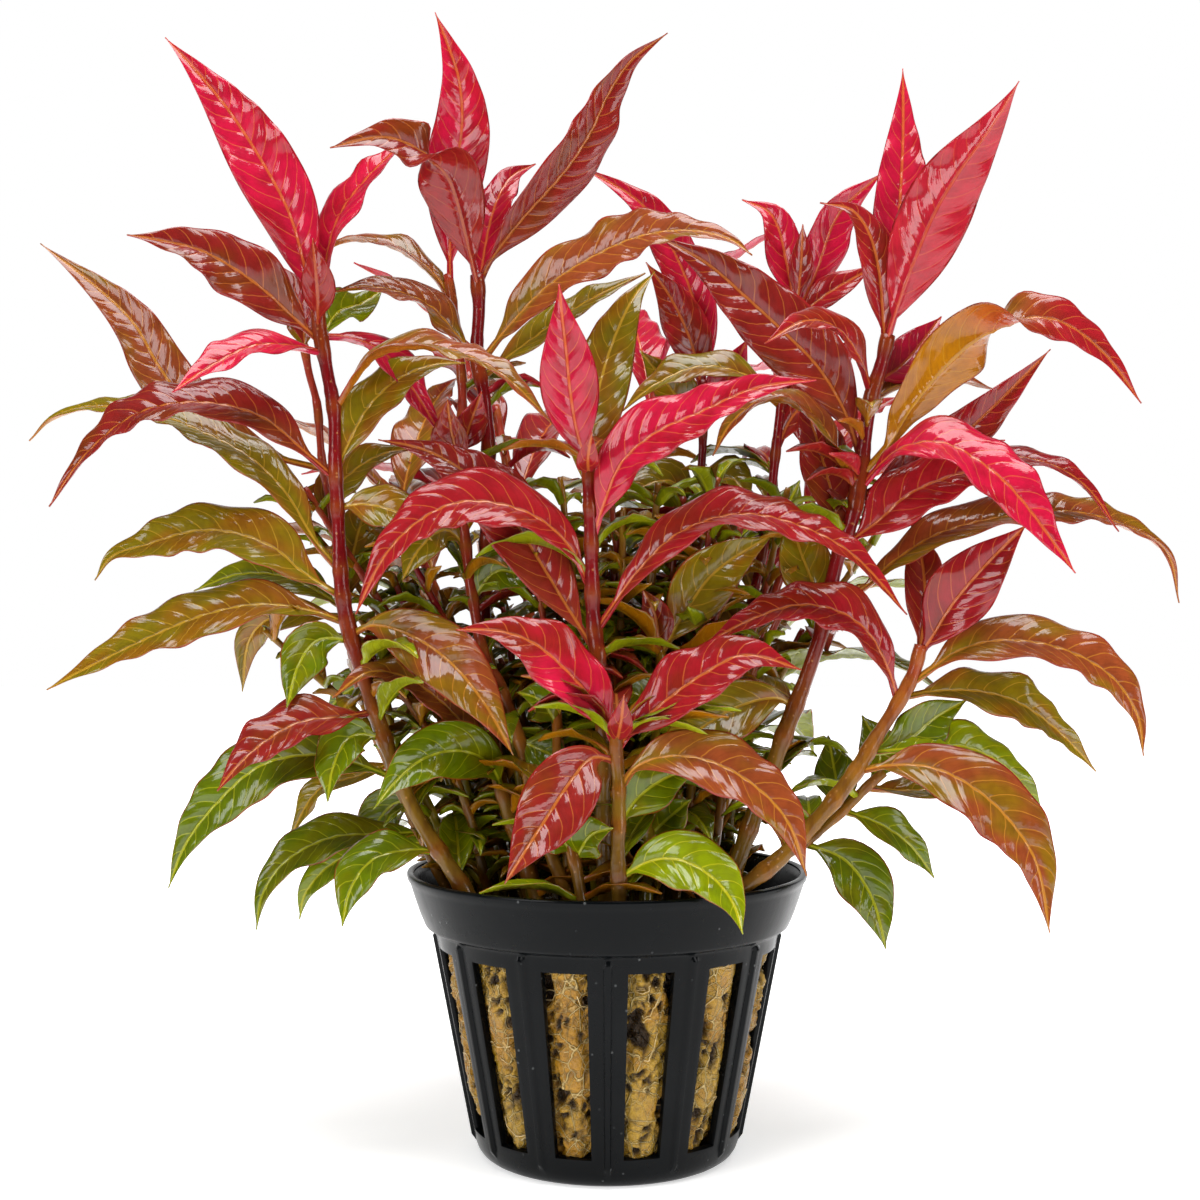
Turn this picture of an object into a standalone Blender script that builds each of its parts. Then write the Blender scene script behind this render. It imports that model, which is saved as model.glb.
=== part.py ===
"""A red-leaved persicaria growing in a slotted net pot.

Metres, +Z up. The origin is the centre of the pot's underside, and the plant's front looks along -Y.
"""

import math
from typing import NamedTuple

import bmesh
import bpy
from mathutils import Vector
from mathutils.geometry import interpolate_bezier

MM = 0.001
COLLECTION = "potted_sao_paulo_red_persicaria"

# Pot: radius and height of each step of its outer side, from the foot up
POT_HEIGHT = 38.6 * MM
RIM_RADIUS = 27.5 * MM
RIM_LIP = 1.0 * MM
RIM_BEVEL = (0.3 * MM, 1.2 * MM)
COLLAR_LOW = (24.8 * MM, 31.2 * MM)
BODY_TOP = (23.7 * MM, 30.9 * MM)
BODY_LOW = (18.2 * MM, 2.6 * MM)
FOOT_ROUND = (0.6 * MM, 0.8 * MM)
FOOT_RADIUS = 16.5 * MM
FLOOR_INSET = 0.6 * MM
COLLAR_DROP = 0.4 * MM
POT_WALL = 1.0 * MM
POT_STEPS = 39

# Slots, shared evenly round the body with a rib on each bar between them
SLOT_COUNT = 13
SLOT_ANGLE = math.radians(14.9)
SLOT_LOW = 3.9 * MM
SLOT_HIGH = 28.7 * MM
RIB_WIDTH = 0.8 * MM
RIB_PROUD = 0.45 * MM
RIB_BITE = 0.2 * MM
SLOT_CUT = (5 * MM, 3 * MM)

# Growing medium: a plug that stands free of the wall, domed on top and drawn in at the foot
PLUG_GAP = 0.6 * MM
PLUG_TOP = 33.0 * MM
PLUG_TOP_RADIUS = 22.6 * MM
PLUG_CROWN = (0.8, 0.3 * MM)
PLUG_SHOULDER = 1.5 * MM
PLUG_UNDER_COLLAR = 2 * MM
PLUG_WAIST = 0.3 * MM
PLUG_FOOT = ((1.2 * MM, 1.5 * MM), 3.5 * MM)
PLUG_STEPS = 26

# Clearance between pieces that touch on the real plant
GAP = 0.3 * MM

# How the plant was sighted: a level eye in front of the pot, in the photograph's own pixels
EYE_DISTANCE = 248.4 * MM
EYE_HEIGHT = 75.6 * MM
EYE_X = -0.97 * MM
CENTRE_PX = 600
FOCAL_PX = 1800

# Leaves
LEAF_THICKNESS = 0.55 * MM
LARGE_STATIONS = (5, 7)
SMALL_STATIONS = (3, 6)
STATION_SPACING = 8 * MM
LARGE_FOLD = 0.22
TWIST_FROM = 0.42
TWIST_TO = 0.68
PETIOLE_SHARE = 0.08
PETIOLE_WIDTH = 0.9 * MM
TIP_WIDTH = 0.5 * MM

# Stems
STEM_SPACING = 12 * MM
STEM_SPACING_LEAST = 5 * MM
NODE_SWELL = 1.22

COLOURS = {
    "pink": (0.62, 0.06, 0.13),
    "crimson": (0.45, 0.015, 0.04),
    "dark_red": (0.22, 0.01, 0.012),
    "bronze": (0.25, 0.06, 0.02),
    "olive": (0.14, 0.1, 0.01),
    "green": (0.08, 0.15, 0.008),
    "lime": (0.3, 0.33, 0.03),
    "stem_red": (0.25, 0.012, 0.015),
    "stem_peach": (0.5, 0.17, 0.08),
    "stem_green": (0.22, 0.2, 0.03),
    "pot": (0.014, 0.016, 0.018),
    "medium": (0.42, 0.22, 0.05),
}
ROUGHNESS = {"pot": 0.35, "medium": 0.95}
LEAF_ROUGHNESS = 0.3


class Stem(NamedTuple):
    """Radii in mm at the base and the top, and a route of (photo x, photo y, mm towards the eye) going up."""

    tone: str
    radii: tuple
    sides: int
    route: tuple


class Leaf(NamedTuple):
    """A leaf read off the photograph, its route of photo pixels running from base to tip.

    width is in mm. face is (up, aside) in degrees: 0, 0 turns the upper side to the eye, up 90 turns it
    to the sky, up 180 shows the underside, and aside turns it to the right. reach is how many mm the
    tip lies nearer the eye than the base, and a route's third value adds to that at one point.
    tip_face is the facing of the outer half, where the leaf twists.
    """

    tone: str
    width: float
    face: tuple
    reach: float
    route: tuple
    tip_face: tuple = None
    own: bool = True


class Shoot(NamedTuple):
    """A shoot that the photograph hides: azimuth from the front, in degrees towards +X, and sizes in mm."""

    azimuth: float
    foot: float
    height: float
    lean: float
    radius: float
    tone: str
    leaf_tones: tuple
    leaf_length: tuple
    leaf_width: float
    leaf_count: int
    turn: float


STEMS = {
    "left_stem": Stem("stem_red", (1.05, 0.8), 6, (
        (457, 878, 14), (417, 816, 13), (394, 765, 12), (368, 690, 11), (349, 629, 10), (342, 590, 10),
        (338, 517, 9), (335, 463, 9), (334, 410, 8), (327, 371, 8), (319, 326, 8), (318, 307, 8))),
    "tall_stem": Stem("stem_red", (1.0, 0.85), 6, (
        (530, 876, 9), (520, 845, 8), (504, 795, 7), (490, 740, 6), (484, 690, 5), (484, 600, 3),
        (488, 520, 2), (489, 460, 1), (485, 400, 1), (477, 357, 0), (479, 306, 0), (477, 275, 0))),
    "slim_stem": Stem("stem_peach", (0.8, 0.6), 6, (
        (562, 880, 14), (545, 840, 13), (532, 790, 11), (518, 735, 10), (500, 685, 9), (484, 655, 8),
        (472, 593, 6), (467, 555, 5), (463, 522, 4), (461, 450, 2), (462, 383, -1), (453, 306, -3),
        (448, 275, -4))),
    "front_stem": Stem("stem_red", (1.05, 0.8), 6, (
        (605, 868, 16), (603, 784, 16), (605, 749, 16), (602, 700, 16), (598, 657, 16), (594, 627, 15),
        (592, 581, 15), (591, 530, 15), (589, 479, 15), (588, 455, 15))),
    "bud_stem": Stem("stem_red", (0.95, 0.7), 6, (
        (619, 889, 23), (618, 850, 23), (619, 784, 22), (616, 748, 22), (618, 728, 22))),
    "right_stem": Stem("stem_red", (1.1, 0.85), 6, (
        (735, 868, 12), (756, 810, 12), (770, 775, 12), (784, 735, 12), (802, 689, 11), (813, 658, 11),
        (822, 629, 11), (838, 557, 10), (852, 519, 10), (860, 478, 9), (864, 445, 9), (871, 399, 9),
        (882, 363, 9), (888, 335, 9))),
    "far_right_stem": Stem("stem_peach", (1.1, 0.8), 6, (
        (742, 888, 18), (779, 859, 17), (807, 830, 16), (830, 805, 16), (858, 768, 15), (876, 738, 14),
        (895, 708, 13), (913, 675, 12), (921, 645, 12))),
    "back_right_stem": Stem("stem_red", (0.8, 0.6), 4, (
        (672, 866, 4), (700, 790, 0), (725, 720, -3), (748, 620, -7), (768, 520, -10), (778, 430, -12),
        (787, 360, -13), (797, 305, -13))),
    "left_low_shoot": Stem("stem_green", (0.75, 0.5), 4, (
        (476, 873, 2), (440, 835, 0), (415, 790, -2), (395, 740, -4), (384, 690, -6))),
    "left_side_shoot": Stem("stem_peach", (0.65, 0.5), 4, (
        (438, 872, 4), (395, 780, 1), (360, 690, 0), (345, 600, 0), (331, 510, 1), (322, 460, 1),
        (317, 404, 1), (309, 373, 1), (304, 345, 1))),
    "small_front_shoot": Stem("stem_peach", (0.85, 0.5), 4, (
        (580, 889, 20.5), (574, 858, 20), (563, 815, 18), (557, 770, 15), (557, 720, 12), (556, 690, 10))),
    "centre_shoot": Stem("stem_green", (0.75, 0.5), 4, (
        (648, 884, 15), (650, 830, 13), (655, 760, 11), (656, 700, 9), (661, 650, 8))),
    "back_middle_shoot": Stem("stem_red", (0.75, 0.55), 4, (
        (655, 862, -8), (672, 760, -12), (684, 620, -15), (692, 545, -16), (702, 460, -17),
        (703, 380, -17))),
    "right_side_shoot": Stem("stem_peach", (0.75, 0.55), 4, (
        (765, 868, 8), (800, 846, 7), (838, 815, 6), (868, 786, 6), (884, 772, 6))),
}

LEAVES = {
    "left_stem": (
        Leaf("pink", 8.8, (10, 0), 0, (
            (316, 322), (305, 268), (290, 215), (266, 168), (232, 115), (200, 75), (165, 37))),
        Leaf("dark_red", 8.6, (25, 0), 9, (
            (316, 345), (290, 314), (270, 295), (240, 272), (200, 250), (160, 240), (127, 234))),
        Leaf("pink", 6.6, (45, 0), 16, (
            (320, 352), (293, 345), (255, 345), (217, 362), (172, 391))),
        Leaf("dark_red", 9.0, (45, 0), 9, (
            (333, 478), (309, 455), (260, 416), (199, 402), (140, 412), (89, 450), (48, 506)),
            (60, 0)),
        Leaf("olive", 9.0, (38, 0), 2, (
            (338, 598), (300, 570), (276, 549), (235, 533), (195, 531), (145, 545), (112, 556),
            (94, 580))),
        Leaf("olive", 8.6, (42, 0), 8, (
            (346, 624), (310, 610), (260, 604), (204, 615), (150, 637), (90, 666), (46, 689))),
        Leaf("bronze", 8.6, (10, 0), 12, (
            (352, 632), (375, 625), (414, 637), (452, 664), (486, 706), (513, 755))),
        Leaf("dark_red", 7.8, (45, 0), 12, (
            (370, 710), (345, 716), (300, 722), (264, 742), (238, 765), (217, 790))),
        Leaf("green", 9.0, (28, 0), 2, (
            (386, 785), (351, 762), (310, 755), (260, 766), (215, 805), (185, 845), (168, 888))),
        Leaf("bronze", 7.6, (68, 0), 8, (
            (338, 405), (350, 380), (372, 355), (405, 345), (450, 349), (500, 372), (553, 422))),
        Leaf("pink", 7.6, (0, -45), -6, (
            (319, 315), (330, 240), (345, 205), (372, 172), (394, 150), (413, 122)), None, False),
        Leaf("olive", 7.6, (58, 0), -7, (
            (340, 572), (314, 539), (286, 493), (250, 457), (204, 432), (150, 412), (89, 406),
            (50, 418), (28, 440)), None, False),
        Leaf("olive", 7.2, (38, 0), -3, (
            (338, 472), (350, 440), (370, 405), (400, 378), (435, 364), (466, 362)), None, False),
        Leaf("dark_red", 4.6, (180, 0), 3, (
            (318, 325), (318, 292, 2), (313, 238, 2)), None, False),
        Leaf("pink", 6.4, (55, 0), -5, (
            (320, 334), (350, 337), (385, 353), (415, 392), (443, 438)), None, False),
        Leaf("olive", 6.6, (25, 0), 4, ((339, 507), (365, 504), (400, 514), (432, 540)), None, False),
        Leaf("green", 6.4, (0, 20), 6, (
            (350, 642), (318, 640), (298, 666), (287, 707)), None, False),
        Leaf("green", 6.6, (0, -20), 7, (
            (382, 742), (352, 736), (334, 764), (327, 801)), None, False),
        Leaf("green", 7.2, (48, 0), 6, (
            (434, 852), (408, 850), (372, 860), (350, 890), (342, 926)), None, False),
        Leaf("lime", 6.0, (20, 0), -9, ((322, 338), (338, 312), (362, 303), (384, 288)), None, False),
    ),
    "tall_stem": (
        Leaf("dark_red", 8.6, (180, 0), 10, (
            (474, 286), (468, 245), (458, 205), (446, 174), (425, 153), (385, 137), (330, 147)),
            (15, 0)),
        Leaf("dark_red", 7.4, (0, 40), -3, (
            (479, 290), (490, 262), (520, 222), (566, 170), (592, 130), (608, 95), (632, 60), (668, 33))),
        Leaf("bronze", 9.2, (35, 0), 16, (
            (480, 366), (505, 330), (545, 288), (590, 258), (640, 236), (690, 230), (730, 239),
            (752, 254))),
        Leaf("bronze", 7.6, (55, 0), 6, (
            (472, 358), (455, 332), (432, 307), (400, 292), (365, 286), (334, 290))),
        Leaf("green", 8.0, (15, 0), 14, (
            (505, 795), (490, 765), (462, 751), (425, 758), (395, 782), (374, 808))),
        Leaf("bronze", 7.2, (50, 0), 10, (
            (498, 765), (466, 727), (437, 698), (403, 676), (368, 672), (332, 697)), None, False),
        Leaf("pink", 6.4, (0, -20), -9, ((480, 290), (492, 215), (510, 178), (536, 163)), None, False),
        Leaf("olive", 6.2, (52, 0), -2, ((480, 375), (530, 340), (585, 302), (645, 272)), None, False),
    ),
    "slim_stem": (
        Leaf("pink", 8.4, (0, 5), 4, (
            (448, 290), (450, 240), (454, 180), (462, 125), (459, 80), (447, 42), (435, 12))),
        Leaf("bronze", 6.0, (70, 0), -3, (
            (450, 302), (433, 272), (395, 245), (350, 238), (316, 251)), None, False),
        Leaf("dark_red", 5.6, (0, -25), 5, ((461, 470), (452, 435), (447, 400)), None, False),
        Leaf("crimson", 5.0, (0, 30), 4, ((462, 455), (470, 425), (482, 392)), None, False),
        Leaf("olive", 6.2, (30, 0), 3, ((466, 545), (445, 530), (420, 548), (402, 580)), None, False),
        Leaf("green", 6.4, (20, 0), 3, ((474, 600), (495, 572), (520, 575), (545, 590)), None, False),
        Leaf("green", 6.0, (10, 0), 3, ((520, 742), (545, 752), (572, 765)), None, False),
    ),
    "front_stem": (
        Leaf("pink", 7.6, (0, 0), 4, (
            (586, 470), (577, 432), (570, 390), (566, 350), (562, 315), (559, 284))),
        Leaf("pink", 8.6, (35, 0), 8, (
            (593, 545), (604, 503), (622, 462), (655, 433), (700, 412), (755, 388), (816, 379))),
        Leaf("crimson", 8.4, (52, 0), 5, (
            (595, 632), (612, 606), (640, 568), (680, 532), (735, 514), (790, 522), (850, 552),
            (908, 614))),
        Leaf("crimson", 8.8, (40, 0), 4, (
            (592, 592), (572, 550), (543, 521), (505, 505), (460, 502), (420, 520), (385, 555),
            (355, 614))),
        Leaf("dark_red", 9.0, (25, 0), -7, (
            (597, 655), (568, 608), (540, 562), (505, 508), (465, 472), (425, 450), (378, 439))),
        Leaf("olive", 8.0, (10, 0), -15, (
            (590, 508), (588, 455, -2), (594, 410), (610, 350), (632, 300), (655, 271)), None, False),
        Leaf("crimson", 3.0, (0, 0), 1, ((589, 476), (588, 458, 2.8), (592, 432, 3.4)), None, False),
    ),
    "bud_stem": (
        Leaf("crimson", 8.4, (35, 0), 2, (
            (618, 750), (632, 730), (665, 701), (705, 673), (745, 655), (802, 669))),
        Leaf("pink", 8.4, (35, 0), 1, (
            (615, 748), (598, 708), (570, 674), (535, 644), (500, 631), (456, 629))),
        Leaf("dark_red", 8.8, (10, 0), 12, (
            (613, 762), (592, 758), (570, 782), (545, 820), (525, 851), (505, 883))),
        Leaf("bronze", 8.6, (38, 0), 6, (
            (621, 790), (637, 766), (670, 756), (712, 762), (755, 786), (788, 822), (807, 876))),
        Leaf("lime", 8.0, (30, 0), 7, (
            (622, 880), (650, 861), (680, 860), (712, 877), (733, 903), (743, 934))),
        Leaf("crimson", 3.2, (0, 0), 1, ((618, 745), (621, 722, 2.4), (624, 695, 2.6)), None, False),
        Leaf("green", 6.4, (10, 0), -3, ((620, 828), (638, 798), (666, 778), (700, 768)), None, False),
    ),
    "right_stem": (
        Leaf("crimson", 9.4, (180, 10), 8, (
            (887, 345), (900, 300), (915, 260), (934, 215), (957, 175), (982, 140), (1002, 110),
            (1019, 81)), (160, 10)),
        Leaf("pink", 7.2, (0, 0), -9, (
            (888, 340), (896, 270), (900, 200), (903, 140), (903, 68))),
        Leaf("dark_red", 9.8, (0, 0), -5, (
            (860, 462), (845, 412), (818, 367), (785, 333), (745, 296), (705, 262), (655, 235))),
        Leaf("olive", 8.8, (150, 0), 4, (
            (868, 475), (887, 445), (908, 410), (945, 365), (985, 332), (1022, 318), (1062, 322),
            (1104, 353), (1142, 403)), (25, 0)),
        Leaf("pink", 9.0, (50, 0), 12, (
            (862, 488), (882, 462), (905, 446), (940, 442), (975, 458), (1015, 492), (1076, 573)),
            (20, 0)),
        Leaf("crimson", 9.0, (35, 0), 3, (
            (848, 548), (878, 521), (905, 497), (940, 480), (975, 474), (1006, 510))),
        Leaf("bronze", 7.8, (55, 0), -8, (
            (832, 602), (862, 588), (895, 560), (940, 533), (1000, 517), (1070, 511), (1130, 527),
            (1167, 552), (1180, 603))),
        Leaf("crimson", 5.6, (40, 0), 13, (
            (873, 392), (862, 362), (840, 330), (808, 320), (765, 342)), None, False),
        Leaf("dark_red", 8.0, (0, 20), -7, (
            (841, 548), (836, 515), (827, 475), (814, 430), (800, 385)), None, False),
        Leaf("olive", 8.4, (15, 0), 5, (
            (797, 708), (775, 698), (735, 708), (695, 732), (645, 762)), None, False),
        Leaf("bronze", 6.4, (68, 0), 4, (
            (857, 482), (838, 452, 2.5), (815, 416, 2.5), (772, 397, 2.5), (735, 418, 2),
            (712, 455, 2)), None, False),
        Leaf("crimson", 6.4, (10, 15), -8, (
            (864, 500), (905, 468, -2), (940, 448, -2), (975, 424, -1), (1051, 349)), None, False),
        Leaf("crimson", 6.2, (60, 0), -1, (
            (862, 504), (925, 466, -3), (985, 455, -3), (1045, 462, -1.5), (1085, 485), (1120, 531, 1)),
            None, False),
        Leaf("crimson", 5.0, (20, 0), -2, ((886, 348), (876, 255), (855, 212), (820, 202)), None, False),
        Leaf("pink", 6.2, (0, 10), -10, ((878, 385), (905, 362), (942, 316)), None, False),
        Leaf("bronze", 6.0, (60, 0), -10, ((874, 400), (905, 382), (945, 376), (995, 388)), None, False),
        Leaf("olive", 7.4, (10, 0), -6, ((828, 625), (815, 590), (800, 550), (788, 510)), None, False),
    ),
    "far_right_stem": (
        Leaf("crimson", 8.4, (0, -20), 4, (
            (918, 660), (930, 640), (952, 605), (985, 566), (1027, 524))),
        Leaf("bronze", 8.6, (45, 0), 4, (
            (911, 686), (930, 669), (960, 650), (1003, 640), (1060, 648), (1110, 675), (1137, 714),
            (1144, 756))),
        Leaf("bronze", 9.2, (28, 0), 9, (
            (862, 776), (890, 765), (930, 767), (968, 784), (1005, 815), (1036, 862), (1050, 933))),
        Leaf("crimson", 8.4, (48, 0), 5, (
            (900, 702), (888, 668), (868, 632), (838, 611), (798, 605), (752, 619), (703, 644))),
        Leaf("olive", 8.0, (42, 0), -8, (
            (903, 697), (935, 691), (975, 691), (1015, 701), (1055, 728), (1097, 771)), None, False),
        Leaf("dark_red", 5.8, (0, 0), -8, ((919, 655), (925, 610), (922, 560), (911, 517)), None, False),
        Leaf("green", 7.0, (0, 10), -6, ((868, 752), (905, 742), (935, 718), (967, 700)), None, False),
        Leaf("lime", 7.2, (45, 0), -8, (
            (868, 752), (925, 747), (970, 748), (1015, 775), (1047, 822)), None, False),
    ),
    "back_right_stem": (
        Leaf("pink", 5.8, (20, 0), -3, ((796, 315), (787, 265), (772, 215), (742, 199)), None, False),
        Leaf("pink", 6.4, (0, 20), -2, ((798, 318), (815, 275), (838, 215), (883, 172)), None, False),
        Leaf("crimson", 5.0, (30, 0), 3, ((797, 322), (825, 295), (876, 265)), None, False),
        Leaf("crimson", 3.6, (0, 0), 1, ((797, 300), (801, 265), (803, 224)), None, False),
        Leaf("olive", 7.0, (50, 0), 4, (
            (783, 398), (745, 374), (700, 366), (655, 384), (622, 410)), None, False),
        Leaf("crimson", 6.4, (10, 0), -4, ((775, 455), (790, 420), (830, 372), (860, 330)), None, False),
        Leaf("olive", 7.6, (0, 0), -3, ((745, 640), (720, 600), (690, 560), (668, 540)), None, False),
        Leaf("green", 7.0, (10, 0), -4, ((760, 560), (780, 520), (800, 480)), None, False),
    ),
    "left_low_shoot": (
        Leaf("green", 7.0, (45, 0), 2, (
            (432, 832), (380, 834), (330, 838), (285, 862), (262, 895), (256, 930)), None, False),
        Leaf("lime", 6.4, (35, 0), -4, (
            (440, 848), (385, 846), (335, 862), (306, 892), (299, 920)), None, False),
        Leaf("olive", 5.2, (55, 0), -3, ((402, 760), (357, 776), (318, 790), (287, 842)), None, False),
        Leaf("green", 6.6, (10, 0), -6, ((420, 800), (392, 805), (372, 830), (360, 850)), None, False),
        Leaf("green", 6.6, (20, 0), -7, ((388, 712), (372, 690), (350, 690), (325, 712)), None, False),
        Leaf("olive", 6.6, (20, 0), -5, ((386, 700), (392, 660), (410, 625)), None, False),
    ),
    "left_side_shoot": (
        Leaf("olive", 6.6, (45, 0), -1, (
            (326, 538), (330, 500), (352, 472), (385, 453), (417, 447)), None, False),
        Leaf("bronze", 7.6, (15, 0), -9, (
            (322, 470), (262, 452), (200, 418), (160, 368), (135, 325), (100, 290), (40, 243)),
            None, False),
        Leaf("bronze", 4.0, (45, 0), -3, ((305, 350), (298, 318), (284, 318)), None, False),
        Leaf("crimson", 4.6, (20, 0), -3, ((304, 352), (300, 305), (270, 258)), None, False),
        Leaf("green", 7.0, (45, 0), -8, ((345, 605), (290, 578), (240, 574), (193, 590)), None, False),
        Leaf("olive", 5.6, (20, 0), -8, ((344, 615), (280, 615), (250, 638), (242, 692)), None, False),
        Leaf("olive", 6.4, (0, 0), -6, ((346, 612), (352, 560), (362, 520), (380, 480)), None, False),
    ),
    "small_front_shoot": (
        Leaf("green", 5.8, (20, 0), 4, ((575, 860), (590, 836), (612, 828)), None, False),
        Leaf("green", 5.4, (30, 0), 3, ((573, 855), (555, 832), (535, 822)), None, False),
        Leaf("green", 6.0, (30, 0), 3, ((557, 725), (540, 700), (518, 692)), None, False),
        Leaf("green", 6.0, (10, 0), -3, ((557, 700), (570, 670), (590, 640)), None, False),
        Leaf("green", 5.6, (10, 0), -3, ((556, 695), (545, 655), (530, 620)), None, False),
    ),
    "centre_shoot": (
        Leaf("olive", 8.0, (5, 0), -3, (
            (660, 655), (684, 614), (715, 572), (775, 533)), None, False),
        Leaf("dark_red", 4.6, (0, 0), 1, ((660, 655), (655, 615), (642, 588)), None, False),
        Leaf("green", 6.4, (20, 0), 3, ((656, 712), (637, 694), (610, 690)), None, False),
        Leaf("green", 6.6, (20, 0), -3, ((657, 745), (685, 760), (705, 790)), None, False),
        Leaf("green", 6.0, (20, 0), 4, ((650, 835), (672, 815), (690, 800)), None, False),
    ),
    "back_middle_shoot": (
        Leaf("crimson", 6.8, (0, 5), 2, ((703, 392), (692, 345), (672, 300), (646, 262)), None, False),
        Leaf("pink", 6.8, (15, 0), -3, ((702, 400), (700, 320), (650, 213), (581, 165)), None, False),
        Leaf("olive", 6.8, (20, 0), 3, ((702, 430), (672, 390), (640, 350)), None, False),
        Leaf("pink", 5.6, (20, 0), 3, ((704, 420), (725, 385), (748, 338)), None, False),
        Leaf("olive", 7.2, (40, 0), 5, ((697, 505), (668, 480), (620, 498)), None, False),
        Leaf("olive", 7.2, (40, 0), 4, ((698, 500), (728, 478), (752, 500)), None, False),
    ),
    "right_side_shoot": (
        Leaf("green", 5.8, (40, 0), -2, ((845, 812), (880, 824), (910, 845), (935, 878)), None, False),
        Leaf("olive", 5.4, (60, 0), -2, ((868, 787), (900, 790), (940, 790), (975, 802)), None, False),
        Leaf("green", 7.6, (20, 0), 3, ((805, 846), (845, 860), (872, 898), (886, 949)), None, False),
        Leaf("green", 6.0, (0, 0), -5, ((840, 818), (836, 780), (828, 735)), None, False),
        Leaf("green", 6.0, (20, 0), -5, ((872, 782), (880, 752), (862, 715)), None, False),
    ),
}

SHOOTS = {
    "inner_shoot_1": Shoot(80, 8, 70, 2, 0.7, "stem_green", ("green", "olive"), (14, 20), 5.8, 5, 48),
    "inner_shoot_2": Shoot(190, 7, 84, 3, 0.7, "stem_green", ("green", "olive"), (16, 24), 6.2, 6, 144),
    "back_shoot_1": Shoot(123, 20, 94, 17, 0.85, "stem_peach", ("green", "crimson"), (26, 40), 8.4, 7, 240),
    "back_shoot_2": Shoot(168, 20, 114, 13, 0.9, "stem_peach", ("olive", "pink"), (26, 42), 8.4, 7, 264),
    "back_shoot_3": Shoot(207, 20, 106, 14, 0.9, "stem_peach", ("bronze", "crimson"), (26, 42), 8.6, 7, 240),
    "back_shoot_4": Shoot(235, 20, 90, 18, 0.85, "stem_peach", ("green", "bronze"), (26, 40), 8.4, 7, 264),
}

# Leaf angles of the hidden shoots, in degrees above level at the leaf's base and at its tip
LOW_LEAF_RISE = (40, -45)
HIGH_LEAF_RISE = (68, 25)
FIRST_LEAF_SHARE = 0.3
LEAF_SPREAD = 78
GOLDEN_ANGLE = 137.5


def clear_scene():
    """Remove whatever the scene starts with."""
    for obj in list(bpy.data.objects):
        bpy.data.objects.remove(obj, do_unlink=True)


def collection(name):
    """A new collection linked to the scene."""
    made = bpy.data.collections.new(name)
    bpy.context.scene.collection.children.link(made)
    return made


def finish(name):
    """The material of a tone, made once."""
    found = bpy.data.materials.get(name)
    if found:
        return found
    made = bpy.data.materials.new(name)
    made.use_nodes = True
    shader = made.node_tree.nodes["Principled BSDF"]
    shader.inputs["Base Color"].default_value = (*COLOURS[name], 1)
    shader.inputs["Roughness"].default_value = ROUGHNESS.get(name, LEAF_ROUGHNESS)
    return made


def add_object(name, mesh, where, tone):
    """An object of this mesh, shaded smooth over its soft edges."""
    obj = bpy.data.objects.new(name, mesh)
    where.objects.link(obj)
    mesh.materials.append(finish(tone))
    mesh.shade_smooth()
    mesh.set_sharp_from_angle(angle=math.radians(35))
    return obj


def make_helper(obj):
    """Leave an object out of the model, as a cutter or a piece to join."""
    obj.hide_render = True
    obj.display_type = "WIRE"


def evaluated_mesh(obj):
    """A plain mesh of the object with its modifiers or its bevel applied and its caps welded."""
    bpy.context.view_layer.update()
    graph = bpy.context.evaluated_depsgraph_get()
    mesh = bpy.data.meshes.new_from_object(obj.evaluated_get(graph))
    bm = bmesh.new()
    bm.from_mesh(mesh)
    bmesh.ops.remove_doubles(bm, verts=bm.verts, dist=1e-6)
    bmesh.ops.recalc_face_normals(bm, faces=bm.faces)
    bm.to_mesh(mesh)
    bm.free()
    return mesh


def seen(px, py, depth):
    """The point that the eye sees at a photo pixel, depth mm in front of the pot's axis."""
    scale = (EYE_DISTANCE - depth * MM) / FOCAL_PX
    return Vector((EYE_X + (px - CENTRE_PX) * scale, -depth * MM, EYE_HEIGHT + (CENTRE_PX - py) * scale))


def smooth_line(points, steps=12):
    """Many points along a smooth curve through these."""
    line = []
    for i in range(len(points) - 1):
        before = points[max(i - 1, 0)]
        start = points[i]
        end = points[i + 1]
        after = points[min(i + 2, len(points) - 1)]
        reach = (end - start).length / 3
        leave = (end - before).normalized() * reach
        arrive = (after - start).normalized() * reach
        line += interpolate_bezier(start, start + leave, end - arrive, end, steps)[:-1]
    return line + [points[-1]]


def lengths_along(line):
    """The distance from the start at each point of a line."""
    total = 0.0
    along = [0.0]
    for a, b in zip(line, line[1:]):
        total += (b - a).length
        along.append(total)
    return along


def at_length(line, along, wanted):
    """The point at a distance from the start."""
    for i in range(1, len(line)):
        if along[i] >= wanted:
            share = (wanted - along[i - 1]) / max(along[i] - along[i - 1], 1e-9)
            return line[i - 1].lerp(line[i], share)
    return line[-1]


def tangent_at(line, along, wanted, reach=0.5 * MM):
    """The direction of a line at a distance from its start."""
    before = at_length(line, along, max(wanted - reach, 0))
    after = at_length(line, along, min(wanted + reach, along[-1]))
    return (after - before).normalized()


class Axis:
    """A stem's smooth axis, with its radius at any distance from its foot."""

    def __init__(self, points, radii):
        self.line = smooth_line(points)
        self.along = lengths_along(self.line)
        self.radii = radii
        self.joints = []

    def point(self, wanted):
        """The axis point at a distance from the foot."""
        return at_length(self.line, self.along, wanted)

    def radius(self, wanted):
        """The stem's radius at a distance from the foot."""
        share = wanted / self.along[-1]
        return (self.radii[0] + (self.radii[1] - self.radii[0]) * share) * MM

    def nearest(self, place, measure):
        """The distance from the foot at which measure(point) comes nearest to place."""
        best = min(range(len(self.line)), key=lambda i: (measure(self.line[i]) - place).length)
        return self.along[best]


def pixel_of(point):
    """The photo pixel of a point, as a 2D vector with no depth."""
    scale = (EYE_DISTANCE + point.y) / FOCAL_PX
    return Vector((CENTRE_PX + (point.x - EYE_X) / scale, CENTRE_PX - (point.z - EYE_HEIGHT) / scale))


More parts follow.
